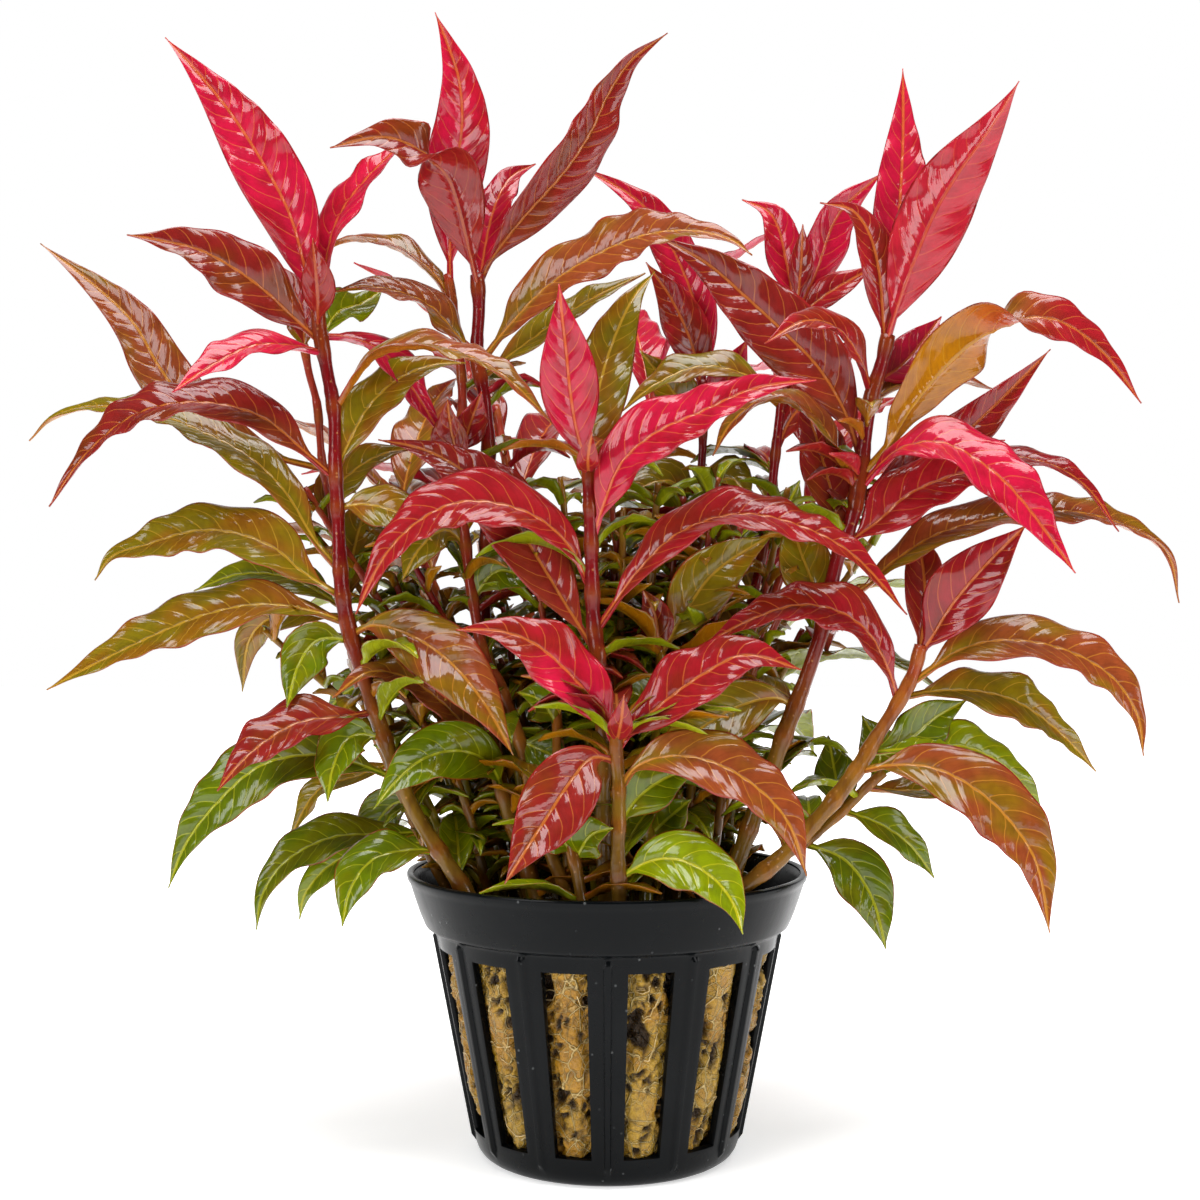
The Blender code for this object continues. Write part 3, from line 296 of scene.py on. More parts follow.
# Leaves that are part of their stem's solid
SMALL_LEAVES = {
    "left_stem": (
        Leaf(PINK, 7.6, (0, -45), -6, ((319, 315), (330, 240), (345, 205), (372, 172), (394, 150),
            (413, 122))),
        Leaf(OLIVE, 7.6, (58, 0), -7, ((340, 572), (314, 539), (286, 493), (250, 457), (204, 432), (150, 412),
            (89, 406), (50, 418), (28, 440))),
        Leaf(OLIVE, 7.2, (38, 0), -3, ((338, 472), (350, 440), (370, 405), (400, 378), (435, 364),
            (466, 362))),
        Leaf(DARK_RED, 4.6, (180, 0), 3, ((318, 325), (318, 292, 2), (313, 238, 2))),
        Leaf(PINK, 6.4, (55, 0), -5, ((320, 334), (350, 337), (385, 353), (415, 392), (443, 438))),
        Leaf(OLIVE, 6.6, (25, 0), 4, ((339, 507), (365, 504), (400, 514), (432, 540))),
        Leaf(GREEN, 6.4, (0, 20), 6, ((350, 642), (318, 640), (298, 666), (287, 707))),
        Leaf(GREEN, 6.6, (0, -20), 7, ((382, 742), (352, 736), (334, 764), (327, 801))),
        Leaf(GREEN, 7.2, (48, 0), 6, ((434, 852), (408, 850), (372, 860), (350, 890), (342, 926))),
        Leaf(LIME, 6.0, (20, 0), -9, ((322, 338), (338, 312), (362, 303), (384, 288))),
    ),
    "tall_stem": (
        Leaf(BRONZE, 7.2, (50, 0), 10, ((498, 765), (466, 727), (437, 698), (403, 676), (368, 672),
            (332, 697))),
        Leaf(PINK, 6.4, (0, -20), -9, ((480, 290), (492, 215), (510, 178), (536, 163))),
        Leaf(OLIVE, 6.2, (52, 0), -2, ((480, 375), (530, 340), (585, 302), (645, 272))),
    ),
    "slim_stem": (
        Leaf(BRONZE, 6.0, (70, 0), -3, ((450, 302), (433, 272), (395, 245), (350, 238), (316, 251))),
        Leaf(DARK_RED, 5.6, (0, -25), 5, ((461, 470), (452, 435), (447, 400))),
        Leaf(CRIMSON, 5.0, (0, 30), 4, ((462, 455), (470, 425), (482, 392))),
        Leaf(OLIVE, 6.2, (30, 0), 3, ((466, 545), (445, 530), (420, 548), (402, 580))),
        Leaf(GREEN, 6.4, (20, 0), 3, ((474, 600), (495, 572), (520, 575), (545, 590))),
        Leaf(GREEN, 6.0, (10, 0), 3, ((520, 742), (545, 752), (572, 765))),
    ),
    "front_stem": (
        Leaf(OLIVE, 8.0, (10, 0), -15, ((590, 508), (588, 455, -2), (594, 410), (610, 350), (632, 300),
            (655, 271))),
        Leaf(CRIMSON, 3.0, (0, 0), 1, ((589, 476), (588, 458, 2.8), (592, 432, 3.4))),
    ),
    "bud_stem": (
        Leaf(CRIMSON, 3.2, (0, 0), 1, ((618, 745), (621, 722, 2.4), (624, 695, 2.6))),
        Leaf(GREEN, 6.4, (10, 0), -3, ((620, 828), (638, 798), (666, 778), (700, 768))),
    ),
    "right_stem": (
        Leaf(CRIMSON, 5.6, (40, 0), 13, ((873, 392), (862, 362), (840, 330), (808, 320), (765, 342))),
        Leaf(DARK_RED, 8.0, (0, 20), -7, ((841, 548), (836, 515), (827, 475), (814, 430), (800, 385))),
        Leaf(OLIVE, 8.4, (15, 0), 5, ((797, 708), (775, 698), (735, 708), (695, 732), (645, 762))),
        Leaf(BRONZE, 6.4, (68, 0), 4, ((857, 482), (838, 452, 2.5), (815, 416, 2.5), (772, 397, 2.5),
            (735, 418, 2), (712, 455, 2))),
        Leaf(CRIMSON, 6.4, (10, 15), -8, ((864, 500), (905, 468, -2), (940, 448, -2), (975, 424, -1),
            (1051, 349))),
        Leaf(CRIMSON, 6.2, (60, 0), -1, ((862, 504), (925, 466, -3), (985, 455, -3), (1045, 462, -1.5),
            (1085, 485), (1120, 531, 1))),
        Leaf(CRIMSON, 5.0, (20, 0), -2, ((886, 348), (876, 255), (855, 212), (820, 202))),
        Leaf(PINK, 6.2, (0, 10), -10, ((878, 385), (905, 362), (942, 316))),
        Leaf(BRONZE, 6.0, (60, 0), -10, ((874, 400), (905, 382), (945, 376), (995, 388))),
        Leaf(OLIVE, 7.4, (10, 0), -6, ((828, 625), (815, 590), (800, 550), (788, 510))),
    ),
    "far_right_stem": (
        Leaf(OLIVE, 8.0, (42, 0), -8, ((903, 697), (935, 691), (975, 691), (1015, 701), (1055, 728),
            (1097, 771))),
        Leaf(DARK_RED, 5.8, (0, 0), -8, ((919, 655), (925, 610), (922, 560), (911, 517))),
        Leaf(GREEN, 7.0, (0, 10), -6, ((868, 752), (905, 742), (935, 718), (967, 700))),
        Leaf(LIME, 7.2, (45, 0), -8, ((868, 752), (925, 747), (970, 748), (1015, 775), (1047, 822))),
    ),
    "back_right_stem": (
        Leaf(PINK, 5.8, (20, 0), -3, ((796, 315), (787, 265), (772, 215), (742, 199))),
        Leaf(PINK, 6.4, (0, 20), -2, ((798, 318), (815, 275), (838, 215), (883, 172))),
        Leaf(CRIMSON, 5.0, (30, 0), 3, ((797, 322), (825, 295), (876, 265))),
        Leaf(CRIMSON, 3.6, (0, 0), 1, ((797, 300), (801, 265), (803, 224))),
        Leaf(OLIVE, 7.0, (50, 0), 4, ((783, 398), (745, 374), (700, 366), (655, 384), (622, 410))),
        Leaf(CRIMSON, 6.4, (10, 0), -4, ((775, 455), (790, 420), (830, 372), (860, 330))),
        Leaf(OLIVE, 7.6, (0, 0), -3, ((745, 640), (720, 600), (690, 560), (668, 540))),
        Leaf(GREEN, 7.0, (10, 0), -4, ((760, 560), (780, 520), (800, 480))),
    ),
    "left_low_shoot": (
        Leaf(GREEN, 7.0, (45, 0), 2, ((432, 832), (380, 834), (330, 838), (285, 862), (262, 895),
            (256, 930))),
        Leaf(LIME, 6.4, (35, 0), -4, ((440, 848), (385, 846), (335, 862), (306, 892), (299, 920))),
        Leaf(OLIVE, 5.2, (55, 0), -3, ((402, 760), (357, 776), (318, 790), (287, 842))),
        Leaf(GREEN, 6.6, (10, 0), -6, ((420, 800), (392, 805), (372, 830), (360, 850))),
        Leaf(GREEN, 6.6, (20, 0), -7, ((388, 712), (372, 690), (350, 690), (325, 712))),
        Leaf(OLIVE, 6.6, (20, 0), -5, ((386, 700), (392, 660), (410, 625))),
    ),
    "left_side_shoot": (
        Leaf(OLIVE, 6.6, (45, 0), -1, ((326, 538), (330, 500), (352, 472), (385, 453), (417, 447))),
        Leaf(BRONZE, 7.6, (15, 0), -9, ((322, 470), (262, 452), (200, 418), (160, 368), (135, 325),
            (100, 290), (40, 243))),
        Leaf(BRONZE, 4.0, (45, 0), -3, ((305, 350), (298, 318), (284, 318))),
        Leaf(CRIMSON, 4.6, (20, 0), -3, ((304, 352), (300, 305), (270, 258))),
        Leaf(GREEN, 7.0, (45, 0), -8, ((345, 605), (290, 578), (240, 574), (193, 590))),
        Leaf(OLIVE, 5.6, (20, 0), -8, ((344, 615), (280, 615), (250, 638), (242, 692))),
        Leaf(OLIVE, 6.4, (0, 0), -6, ((346, 612), (352, 560), (362, 520), (380, 480))),
    ),
    "small_front_shoot": (
        Leaf(GREEN, 5.8, (20, 0), 4, ((575, 860), (590, 836), (612, 828))),
        Leaf(GREEN, 5.4, (30, 0), 3, ((573, 855), (555, 832), (535, 822))),
        Leaf(GREEN, 6.0, (30, 0), 3, ((557, 725), (540, 700), (518, 692))),
        Leaf(GREEN, 6.0, (10, 0), -3, ((557, 700), (570, 670), (590, 640))),
        Leaf(GREEN, 5.6, (10, 0), -3, ((556, 695), (545, 655), (530, 620))),
    ),
    "centre_shoot": (
        Leaf(OLIVE, 8.0, (5, 0), -3, ((660, 655), (684, 614), (715, 572), (775, 533))),
        Leaf(DARK_RED, 4.6, (0, 0), 1, ((660, 655), (655, 615), (642, 588))),
        Leaf(GREEN, 6.4, (20, 0), 3, ((656, 712), (637, 694), (610, 690))),
        Leaf(GREEN, 6.6, (20, 0), -3, ((657, 745), (685, 760), (705, 790))),
        Leaf(GREEN, 6.0, (20, 0), 4, ((650, 835), (672, 815), (690, 800))),
    ),
    "back_middle_shoot": (
        Leaf(CRIMSON, 6.8, (0, 5), 2, ((703, 392), (692, 345), (672, 300), (646, 262))),
        Leaf(PINK, 6.8, (15, 0), -3, ((702, 400), (700, 320), (650, 213), (581, 165))),
        Leaf(OLIVE, 6.8, (20, 0), 3, ((702, 430), (672, 390), (640, 350))),
        Leaf(PINK, 5.6, (20, 0), 3, ((704, 420), (725, 385), (748, 338))),
        Leaf(OLIVE, 7.2, (40, 0), 5, ((697, 505), (668, 480), (620, 498))),
        Leaf(OLIVE, 7.2, (40, 0), 4, ((698, 500), (728, 478), (752, 500))),
    ),
    "right_side_shoot": (
        Leaf(GREEN, 5.8, (40, 0), -2, ((845, 812), (880, 824), (910, 845), (935, 878))),
        Leaf(OLIVE, 5.4, (60, 0), -2, ((868, 787), (900, 790), (940, 790), (975, 802))),
        Leaf(GREEN, 7.6, (20, 0), 3, ((805, 846), (845, 860), (872, 898), (886, 949))),
        Leaf(GREEN, 6.0, (0, 0), -5, ((840, 818), (836, 780), (828, 735))),
        Leaf(GREEN, 6.0, (20, 0), -5, ((872, 782), (880, 752), (862, 715))),
    ),
}

SHOOTS = {
    "inner_shoot_1": Shoot(80, 8, 70, 2, 0.7, StemTone.GREEN, (GREEN, OLIVE), (14, 20), 5.8, 5, 48),
    "inner_shoot_2": Shoot(190, 7, 84, 3, 0.7, StemTone.GREEN, (GREEN, OLIVE), (16, 24), 6.2, 6, 144),
    "back_shoot_1": Shoot(123, 20, 94, 17, 0.85, StemTone.PEACH, (GREEN, CRIMSON), (26, 40), 8.4, 7, 240),
    "back_shoot_2": Shoot(168, 20, 114, 13, 0.9, StemTone.PEACH, (OLIVE, PINK), (26, 42), 8.4, 7, 264),
    "back_shoot_3": Shoot(207, 20, 106, 14, 0.9, StemTone.PEACH, (BRONZE, CRIMSON), (26, 42), 8.6, 7, 240),
    "back_shoot_4": Shoot(235, 20, 90, 18, 0.85, StemTone.PEACH, (GREEN, BRONZE), (26, 40), 8.4, 7, 264),
}

# Leaf angles of the hidden shoots, in degrees above level at the leaf's base and at its tip
LOW_LEAF_RISE = (40, -45)
HIGH_LEAF_RISE = (68, 25)
# How far up a hidden shoot its first and last leaves join, and how far its leaves turn from its azimuth
LEAF_SHARES = (0.3, 0.98)
LEAF_SPREAD = 78
GOLDEN_ANGLE = 137.5


def unit(vectors: np.ndarray) -> np.ndarray:
    """Vectors of length one along the last axis."""
    return vectors / np.maximum(np.linalg.norm(vectors, axis=-1, keepdims=True), 1e-12)


def smooth(value: np.ndarray | float, low: float, high: float) -> np.ndarray:
    """A soft step from 0 at low to 1 at high."""
    share = np.clip((np.asarray(value, float) - low) / (high - low), 0, 1)
    return share * share * (3 - 2 * share)


def blend(a: np.ndarray, b: np.ndarray, share: np.ndarray) -> np.ndarray:
    """Colours between a and b, one for each share."""
    share = np.asarray(share)[..., None]
    return np.asarray(a) * (1 - share) + np.asarray(b) * share


def held(value: float, high: float = 1.0) -> float:
    """A value held between 0 and high."""
    return min(max(value, 0.0), high)


def compass(turn: float) -> np.ndarray:
    """The level direction at an angle in radians from the front, towards +X."""
    return np.array([math.sin(turn), -math.cos(turn), 0.0])


def inward(spot: np.ndarray) -> float:
    """The angle from the front at which the pot's axis lies from a spot, in radians."""
    return math.atan2(-spot[0], spot[1])


def drawn_rises(ranges: tuple[Span, ...], rng: Rng) -> tuple[float, ...]:
    """A leaf's angles above level in radians, one drawn from each range in degrees."""
    return tuple(math.radians(rng.uniform(*bounds)) for bounds in ranges)


def add_object(name: str, data: bpy.types.ID) -> bpy.types.Object:
    """Put a new object in the scene.

    Args:
        name: Its name.
        data: Its mesh, camera or light.

    Returns:
        The object.
    """
    obj = bpy.data.objects.new(name, data)
    bpy.context.scene.collection.objects.link(obj)
    return obj


@dataclass(frozen=True)
class Eye:
    """The level eye that the plant was sighted from, in the photograph's own pixels."""

    distance: float = 248.4 * MM
    height: float = 75.6 * MM
    aside: float = -0.97 * MM
    centre: float = 600.0
    focal: float = 1800.0
    sensor: float = 36.0
    frame_px: float = 1200.0

    def seen(self, px: float, py: float, depth: float) -> np.ndarray:
        """The point seen at a photo pixel, depth mm in front of the pot's axis."""
        scale = (self.distance - depth * MM) / self.focal
        return np.array([
            self.aside + (px - self.centre) * scale, -depth * MM, self.height + (self.centre - py) * scale])

    def pixel_of(self, points: np.ndarray) -> np.ndarray:
        """The photo pixels of points.

        Args:
            points: The points, one row each.

        Returns:
            Their pixels, one row each.
        """
        scale = (self.distance + points[..., 1]) / self.focal
        across = self.centre + (points[..., 0] - self.aside) / scale
        return np.stack([across, self.centre - (points[..., 2] - self.height) / scale], axis=-1)

    def build(self) -> None:
        """Make the camera and look through it."""
        data = bpy.data.cameras.new("camera")
        data.sensor_width = self.sensor
        data.lens = self.sensor * self.focal / self.frame_px
        data.clip_start = 10 * MM
        camera = add_object("camera", data)
        camera.location = (self.aside, -self.distance, self.height)
        camera.rotation_euler = (math.pi / 2, 0, 0)
        bpy.context.scene.camera = camera


EYE = Eye()


class Path:
    """A smooth curve through points, measured along its length."""

    def __init__(self, points: list[np.ndarray], steps: int = 12) -> None:
        """Pass a smooth curve through the points.

        Args:
            points: The points in order, in metres.
            steps: How many points the curve gets for each stretch.
        """
        share = (np.arange(steps - 1) / (steps - 1))[:, None]
        line = []
        for i in range(len(points) - 1):
            start, end = points[i], points[i + 1]
            before = points[max(i - 1, 0)]
            after = points[min(i + 2, len(points) - 1)]
            reach = np.linalg.norm(end - start) / 3
            leave = start + unit(end - before) * reach
            arrive = end - unit(after - start) * reach
            line.append(
                start * (1 - share) ** 3 + leave * 3 * share * (1 - share) ** 2
                + arrive * 3 * share ** 2 * (1 - share) + end * share ** 3)
        self.line = np.vstack(line + [points[-1][None]])
        steps_long = np.linalg.norm(np.diff(self.line, axis=0), axis=1)
        self.along = np.concatenate([[0.0], np.cumsum(steps_long)])
        self.length = float(self.along[-1])

    def at(self, wanted: np.ndarray | float) -> np.ndarray:
        """The points at these distances from the start, or the point at one."""
        return np.stack([np.interp(wanted, self.along, self.line[:, k]) for k in range(3)], axis=-1)

    def heading(self, wanted: np.ndarray, reach: float) -> np.ndarray:
        """The directions at these distances from the start, taken over reach each way."""
        ahead = self.at(np.minimum(wanted + reach, self.length))
        return unit(ahead - self.at(np.maximum(wanted - reach, 0)))

    def nearest(self, place: Span) -> float:
        """The distance from the start at which the curve is seen nearest to a photo pixel."""
        apart = np.linalg.norm(EYE.pixel_of(self.line) - np.array(place), axis=1)
        return float(self.along[np.argmin(apart)])


@dataclass
class Skin:
    """A closed surface: its points, its faces and the values that its finish reads."""

    points: np.ndarray
    faces: list[list[int]]
    values: dict[str, np.ndarray] = field(default_factory=dict)

    @classmethod
    def lofted(cls, rings: np.ndarray, values: dict[str, np.ndarray]) -> "Skin":
        """Close a stack of rings into a skin that faces outwards.

        Args:
            rings: The points, as (ring, point, 3).
            values: Values of each point, as (ring, point) or (ring, point, n).

        Returns:
            The skin, with a cap over each end.
        """
        count, around = rings.shape[:2]
        grid = np.arange(count * around).reshape(count, around)
        ahead = np.roll(grid, -1, axis=1)
        quads = np.stack([grid[:-1], ahead[:-1], ahead[1:], grid[1:]], axis=-1).reshape(-1, 4)
        points = rings.reshape(-1, 3)
        a, b, d = (points[quads[:, k]] for k in (0, 1, 3))
        inside_out = float(np.sum(np.cross(b - a, d - a) * (a - points.mean(axis=0)))) < 0
        faces = quads.tolist() + [grid[0][::-1].tolist(), grid[-1].tolist()]
        if inside_out:
            faces = [face[::-1] for face in faces]
        flat = {key: value.reshape(count * around, -1) for key, value in values.items()}
        return cls(points, faces, flat)

    @classmethod
    def joined(cls, skins: list["Skin"]) -> "Skin":
        """Join several skins.

        Args:
            skins: The skins, which carry the same values.

        Returns:
            One skin.
        """
        faces = []
        total = 0
        for skin in skins:
            faces += [[i + total for i in face] for face in skin.faces]
            total += len(skin.points)
        values = {key: np.vstack([skin.values[key] for skin in skins]) for key in skins[0].values}
        return cls(np.vstack([skin.points for skin in skins]), faces, values)

    def build(self, name: str, material: bpy.types.Material) -> bpy.types.Object:
        """Make the skin an object.

        Args:
            name: The object's name.
            material: Its finish.

        Returns:
            The object, at the origin, with one attribute for each value.
        """
        mesh = bpy.data.meshes.new(name)
        mesh.from_pydata(self.points.tolist(), [], self.faces)
        for key, value in self.values.items():
            kind, slot = {1: ("FLOAT", "value"), 3: ("FLOAT_VECTOR", "vector")}[value.shape[1]]
            layer = mesh.attributes.new(key, kind, "POINT")
            layer.data.foreach_set(slot, value.astype(np.float32).ravel())
        mesh.materials.append(material)
        mesh.shade_smooth()
        return add_object(name, mesh)


def place(obj: bpy.types.Object, nodes: list[str], slot: str) -> None:
    """Let a finished piece stand for solids and ride with the plant.

    Args:
        obj: The piece.
        nodes: The solids that it replaces.
        slot: The material slot's name. Not used.
    """
    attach(obj, ROOT)
    if nodes:
        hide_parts(*nodes)
    LOG.info("%s: %d faces", obj.name, len(obj.data.polygons))


class Graph:
    """A node tree, put together in short steps."""

    def __init__(self, tree: bpy.types.NodeTree) -> None:
        """Write into this tree."""
        self.tree = tree

    def add(self, kind: str, fed: Fed | None = None, **settings: object) -> bpy.types.Node:
        """A new node.

        Args:
            kind: The node's type.
            fed: A link or a plain value for each input, by the input's name or number.
            settings: The node's own options.

        Returns:
            The node.
        """
        node = self.tree.nodes.new(kind)
        for key, value in settings.items():
            setattr(node, key, value)
        for key, value in (fed or {}).items():
            self.feed(node.inputs[key], value)
        return node

    def feed(self, socket: bpy.types.NodeSocket, value: object) -> None:
        """Fill an input.

        Args:
            socket: The input.
            value: A link or a plain value.
        """
        if isinstance(value, bpy.types.NodeSocket):
            self.tree.links.new(value, socket)
        elif isinstance(value, tuple) and socket.type == "RGBA":
            socket.default_value = (*value, 1)
        else:
            socket.default_value = value

    def vector(self, operation: str, fed: Fed) -> bpy.types.NodeSocket:
        """The result of a sum on vectors."""
        return self.add("ShaderNodeVectorMath", fed, operation=operation).outputs["Vector"]

    def step(self, value: object, low: float, high: float, out: Span = (0, 1)) -> object:
        """A soft step of a value from low to high."""
        fed = dict(enumerate((value, low, high, *out)))
        return self.add("ShaderNodeMapRange", fed, interpolation_type="SMOOTHSTEP").outputs[0]


class Shader(Graph):
    """A material's node tree round one Principled BSDF."""

    def __init__(self, name: str) -> None:
        """Start a material.

        Args:
            name: The material's name.
        """
        self.material = bpy.data.materials.new(name)
        self.material.use_nodes = True
        super().__init__(self.material.node_tree)
        self.surface = self.tree.nodes["Principled BSDF"]

    def set(self, **inputs: object) -> None:
        """Set inputs of the surface by name, with _ for a space."""
        for key, value in inputs.items():
            self.feed(self.surface.inputs[key.replace("_", " ")], value)

    def math(self, operation: str, *values: object) -> bpy.types.NodeSocket:
        """The result of a sum on up to three values."""
        return self.add("ShaderNodeMath", dict(enumerate(values)), operation=operation).outputs[0]

    def times(self, a: object, b: object) -> bpy.types.NodeSocket:
        """The product of two values."""
        return self.math("MULTIPLY", a, b)

    def plus(self, a: object, b: object) -> bpy.types.NodeSocket:
        """The sum of two values."""
        return self.math("ADD", a, b)

    def mix(self, share: object, a: object, b: object, how: str = "MIX") -> bpy.types.NodeSocket:
        """A colour between a and b."""
        fed = {0: share, 6: a, 7: b}
        return self.add("ShaderNodeMix", fed, data_type="RGBA", blend_type=how).outputs[2]

    def dimmed(self, share: object, colour: object, tint: Rgb) -> bpy.types.NodeSocket:
        """A colour that is multiplied by a tint where share is 1."""
        return self.mix(share, colour, self.mix(1.0, colour, tint, "MULTIPLY"))

    def place(self) -> bpy.types.NodeSocket:
        """The point's own place on the plant."""
        return self.add("ShaderNodeTexCoord").outputs["Object"]

    def stretched(self, vector: object, scale: Xyz) -> bpy.types.NodeSocket:
        """A place stretched along its axes."""
        return self.add("ShaderNodeMapping", {"Vector": vector, "Scale": scale}).outputs[0]

    def noise(self, vector: object, scale: float, detail: float = 3, rough: float = 0.5) -> object:
        """A soft random value about 0.5."""
        fed = {"Vector": vector, "Scale": scale, "Detail": detail, "Roughness": rough}
        return self.add("ShaderNodeTexNoise", fed).outputs[0]

    def cells(self, vector: object, scale: float, feature: str = "DISTANCE_TO_EDGE") -> object:
        """Distances in a pattern of random cells."""
        fed = {"Vector": vector, "Scale": scale}
        return self.add("ShaderNodeTexVoronoi", fed, feature=feature).outputs["Distance"]

    def value(self, name: str, output: str = "Fac") -> bpy.types.NodeSocket:
        """A value that the mesh carries."""
        return self.add("ShaderNodeAttribute", attribute_name=name).outputs[output]

    def relief(self, height: object, depth: float, strength: float) -> None:
        """Raise the surface by a pattern.

        Args:
            height: The pattern.
            depth: How many metres lie between its values 0 and 1.
            strength: The share of the relief that shows.
        """
        fed = {"Strength": strength, "Distance": depth, "Height": height}
        bump = self.add("ShaderNodeBump", fed).outputs[0]
        self.set(Normal=bump, Coat_Normal=bump)


@dataclass(frozen=True)
class LeafFinish:
    """The skin of a leaf: satin, with a pale midrib, curved side veins and a red edge.

    Widths and spacings are in mm, and a scale is in waves a metre unless its name says otherwise.
    """

    roughness: Span = (0.34, 0.5)
    gloss: float = 0.06
    coat: float = 0.72
    coat_roughness: float = 0.07
    midrib_width: float = 0.17
    midrib_share: float = 0.30
    midrib_strength: float = 0.85
    vein_width: float = 0.06
    vein_spacing: float = 2.6
    vein_strength: float = 0.6
    vein_end: Span = (0.99, 0.82)
    wander: float = 0.36
    wander_scale: float = 260
    mottle_scale: float = 420
    mottle_strength: float = 0.42
    mottle_tint: Rgb = (0.50, 0.42, 0.40)
    streaks_per_vein: float = 4.4
    streaks_per_mm: float = 0.55
    streak_strength: float = 0.30
    streak_tint: Rgb = (0.62, 0.55, 0.5)
    edge: Rgb = (0.36, 0.012, 0.012)
    edge_strength: float = 0.75
    pillow: float = 2.2
    streak_relief: float = 0.55
    relief: float = 0.10 * MM

    def build(self) -> bpy.types.Material:
        """Make the material, which reads the values that each blade carries.

        Returns:
            The material.
        """
        s = Shader("leaf_skin")
        where = s.place()
        side = s.math("ABSOLUTE", s.value("side"))
        span = s.value("span")
        from_rib = s.times(side, span)
        wander = s.math("MULTIPLY_ADD", s.noise(where, self.wander_scale, 1), self.wander, -self.wander / 2)
        wandered = s.plus(s.value("phase"), wander)
        near = s.math("SUBTRACT", 0.5, s.math("ABSOLUTE", s.math("SUBTRACT", s.math("FRACT", wandered), 0.5)))
        thin_vein = s.step(s.times(near, self.vein_spacing), self.vein_width * 2.4, self.vein_width * 0.4)
        vein = s.times(thin_vein, s.step(side, *self.vein_end))
        narrow = s.math("MINIMUM", s.times(span, self.midrib_share), self.midrib_width)
        rib = s.step(s.math("DIVIDE", from_rib, narrow), 1.5, 0.6)
        drawn = {0: s.times(wandered, self.streaks_per_vein), 1: s.times(from_rib, self.streaks_per_mm)}
        streak = s.noise(s.add("ShaderNodeCombineXYZ", drawn).outputs[0], 1.0, 2)
        ribs = s.value("rib", "Color")
        mottle = s.step(s.noise(where, self.mottle_scale, 2, 0.65), 0.35, 0.72, (0, self.mottle_strength))
        mottled = s.dimmed(mottle, s.value("tone", "Color"), self.mottle_tint)
        lined = s.dimmed(s.step(streak, 0.48, 0.66, (0, self.streak_strength)), mottled, self.streak_tint)
        veined = s.mix(s.times(vein, self.vein_strength), lined, ribs)
        ribbed = s.mix(s.times(rib, self.midrib_strength), veined, ribs)
        edged = s.mix(s.step(side, 0.93, 0.995, (0, self.edge_strength)), ribbed, self.edge)
        s.set(Base_Color=edged, Coat_Weight=self.coat, Coat_Roughness=self.coat_roughness)
        s.set(Specular_IOR_Level=self.gloss, Roughness=s.step(streak, 0.3, 0.7, self.roughness))
        pillow = s.times(s.math("SUBTRACT", 1.0, near), s.times(near, self.pillow))
        raised = s.math("MULTIPLY_ADD", streak, self.streak_relief, pillow)
        broad = s.step(span, 0.7, 2.4)
        s.relief(s.times(s.math("SUBTRACT", raised, rib), broad), self.relief, 0.8)
        return s.material


@dataclass(frozen=True)
class StemFinish:
    """The skin of a stem: smooth and fleshy, streaked along its length."""

    roughness: Span = (0.26, 0.42)
    gloss: float = 0.10
    coat: float = 0.4
    coat_roughness: float = 0.12
    streak_tint: Rgb = (0.55, 0.42, 0.5)
    fleck: Rgb = (0.5, 0.24, 0.08)
    relief: float = 0.12 * MM

    def build(self) -> bpy.types.Material:
        """Make the material, which reads the tone that each stem carries.

        Returns:
            The material.
        """
        s = Shader("stem_skin")
        where = s.place()
        streak = s.noise(s.stretched(where, (1, 1, 0.16)), 900, 3)
        streaked = s.dimmed(s.step(streak, 0.42, 0.68, (0, 0.7)), s.value("tone", "Color"), self.streak_tint)
        flecks = s.step(s.cells(where, 900, "F1"), 0.20, 0.05, (0, 0.5))
        s.set(Base_Color=s.mix(flecks, streaked, self.fleck), Specular_IOR_Level=self.gloss)
        s.set(Coat_Weight=self.coat, Coat_Roughness=self.coat_roughness)
        s.set(Roughness=s.step(s.noise(where, 300, 2), 0.3, 0.7, self.roughness))
        s.relief(s.plus(streak, s.noise(where, 1500, 2)), self.relief, 0.45)
        return s.material


@dataclass(frozen=True)
class PotFinish:
    """Moulded black plastic with a satin skin, faint flow marks and dust."""

    colour: Rgb = (0.0012, 0.0018, 0.0023)
    worn: Rgb = (0.0036, 0.0044, 0.0052)
    dust: Rgb = (0.16, 0.17, 0.17)
    gloss: float = 0.115
    roughness: Span = (0.20, 0.36)
    relief: float = 0.10 * MM

    def build(self) -> bpy.types.Material:
        """Make the material.

        Returns:
            The material.
        """
        s = Shader("pot_plastic")
        where = s.place()
        cloud = s.noise(where, 70, 4, 0.6)
        flow = s.noise(s.stretched(where, (1, 1, 0.25)), 240, 3)
        tinted = s.mix(s.step(cloud, 0.4, 0.75), self.colour, self.worn)
        rare = s.step(s.noise(where, 190, 1), 0.52, 0.60)
        speck = s.times(s.step(s.cells(where, 620, "F1"), 0.14, 0.06), rare)
        s.set(Base_Color=s.mix(s.times(speck, 0.4), tinted, self.dust), Specular_IOR_Level=self.gloss)
        s.set(Roughness=s.step(s.plus(cloud, s.times(flow, 0.4)), 0.5, 0.95, self.roughness))
        fine = s.times(s.noise(where, 2600, 2), 0.25)
        s.relief(s.plus(s.plus(flow, fine), speck), self.relief, 0.35)
        return s.material


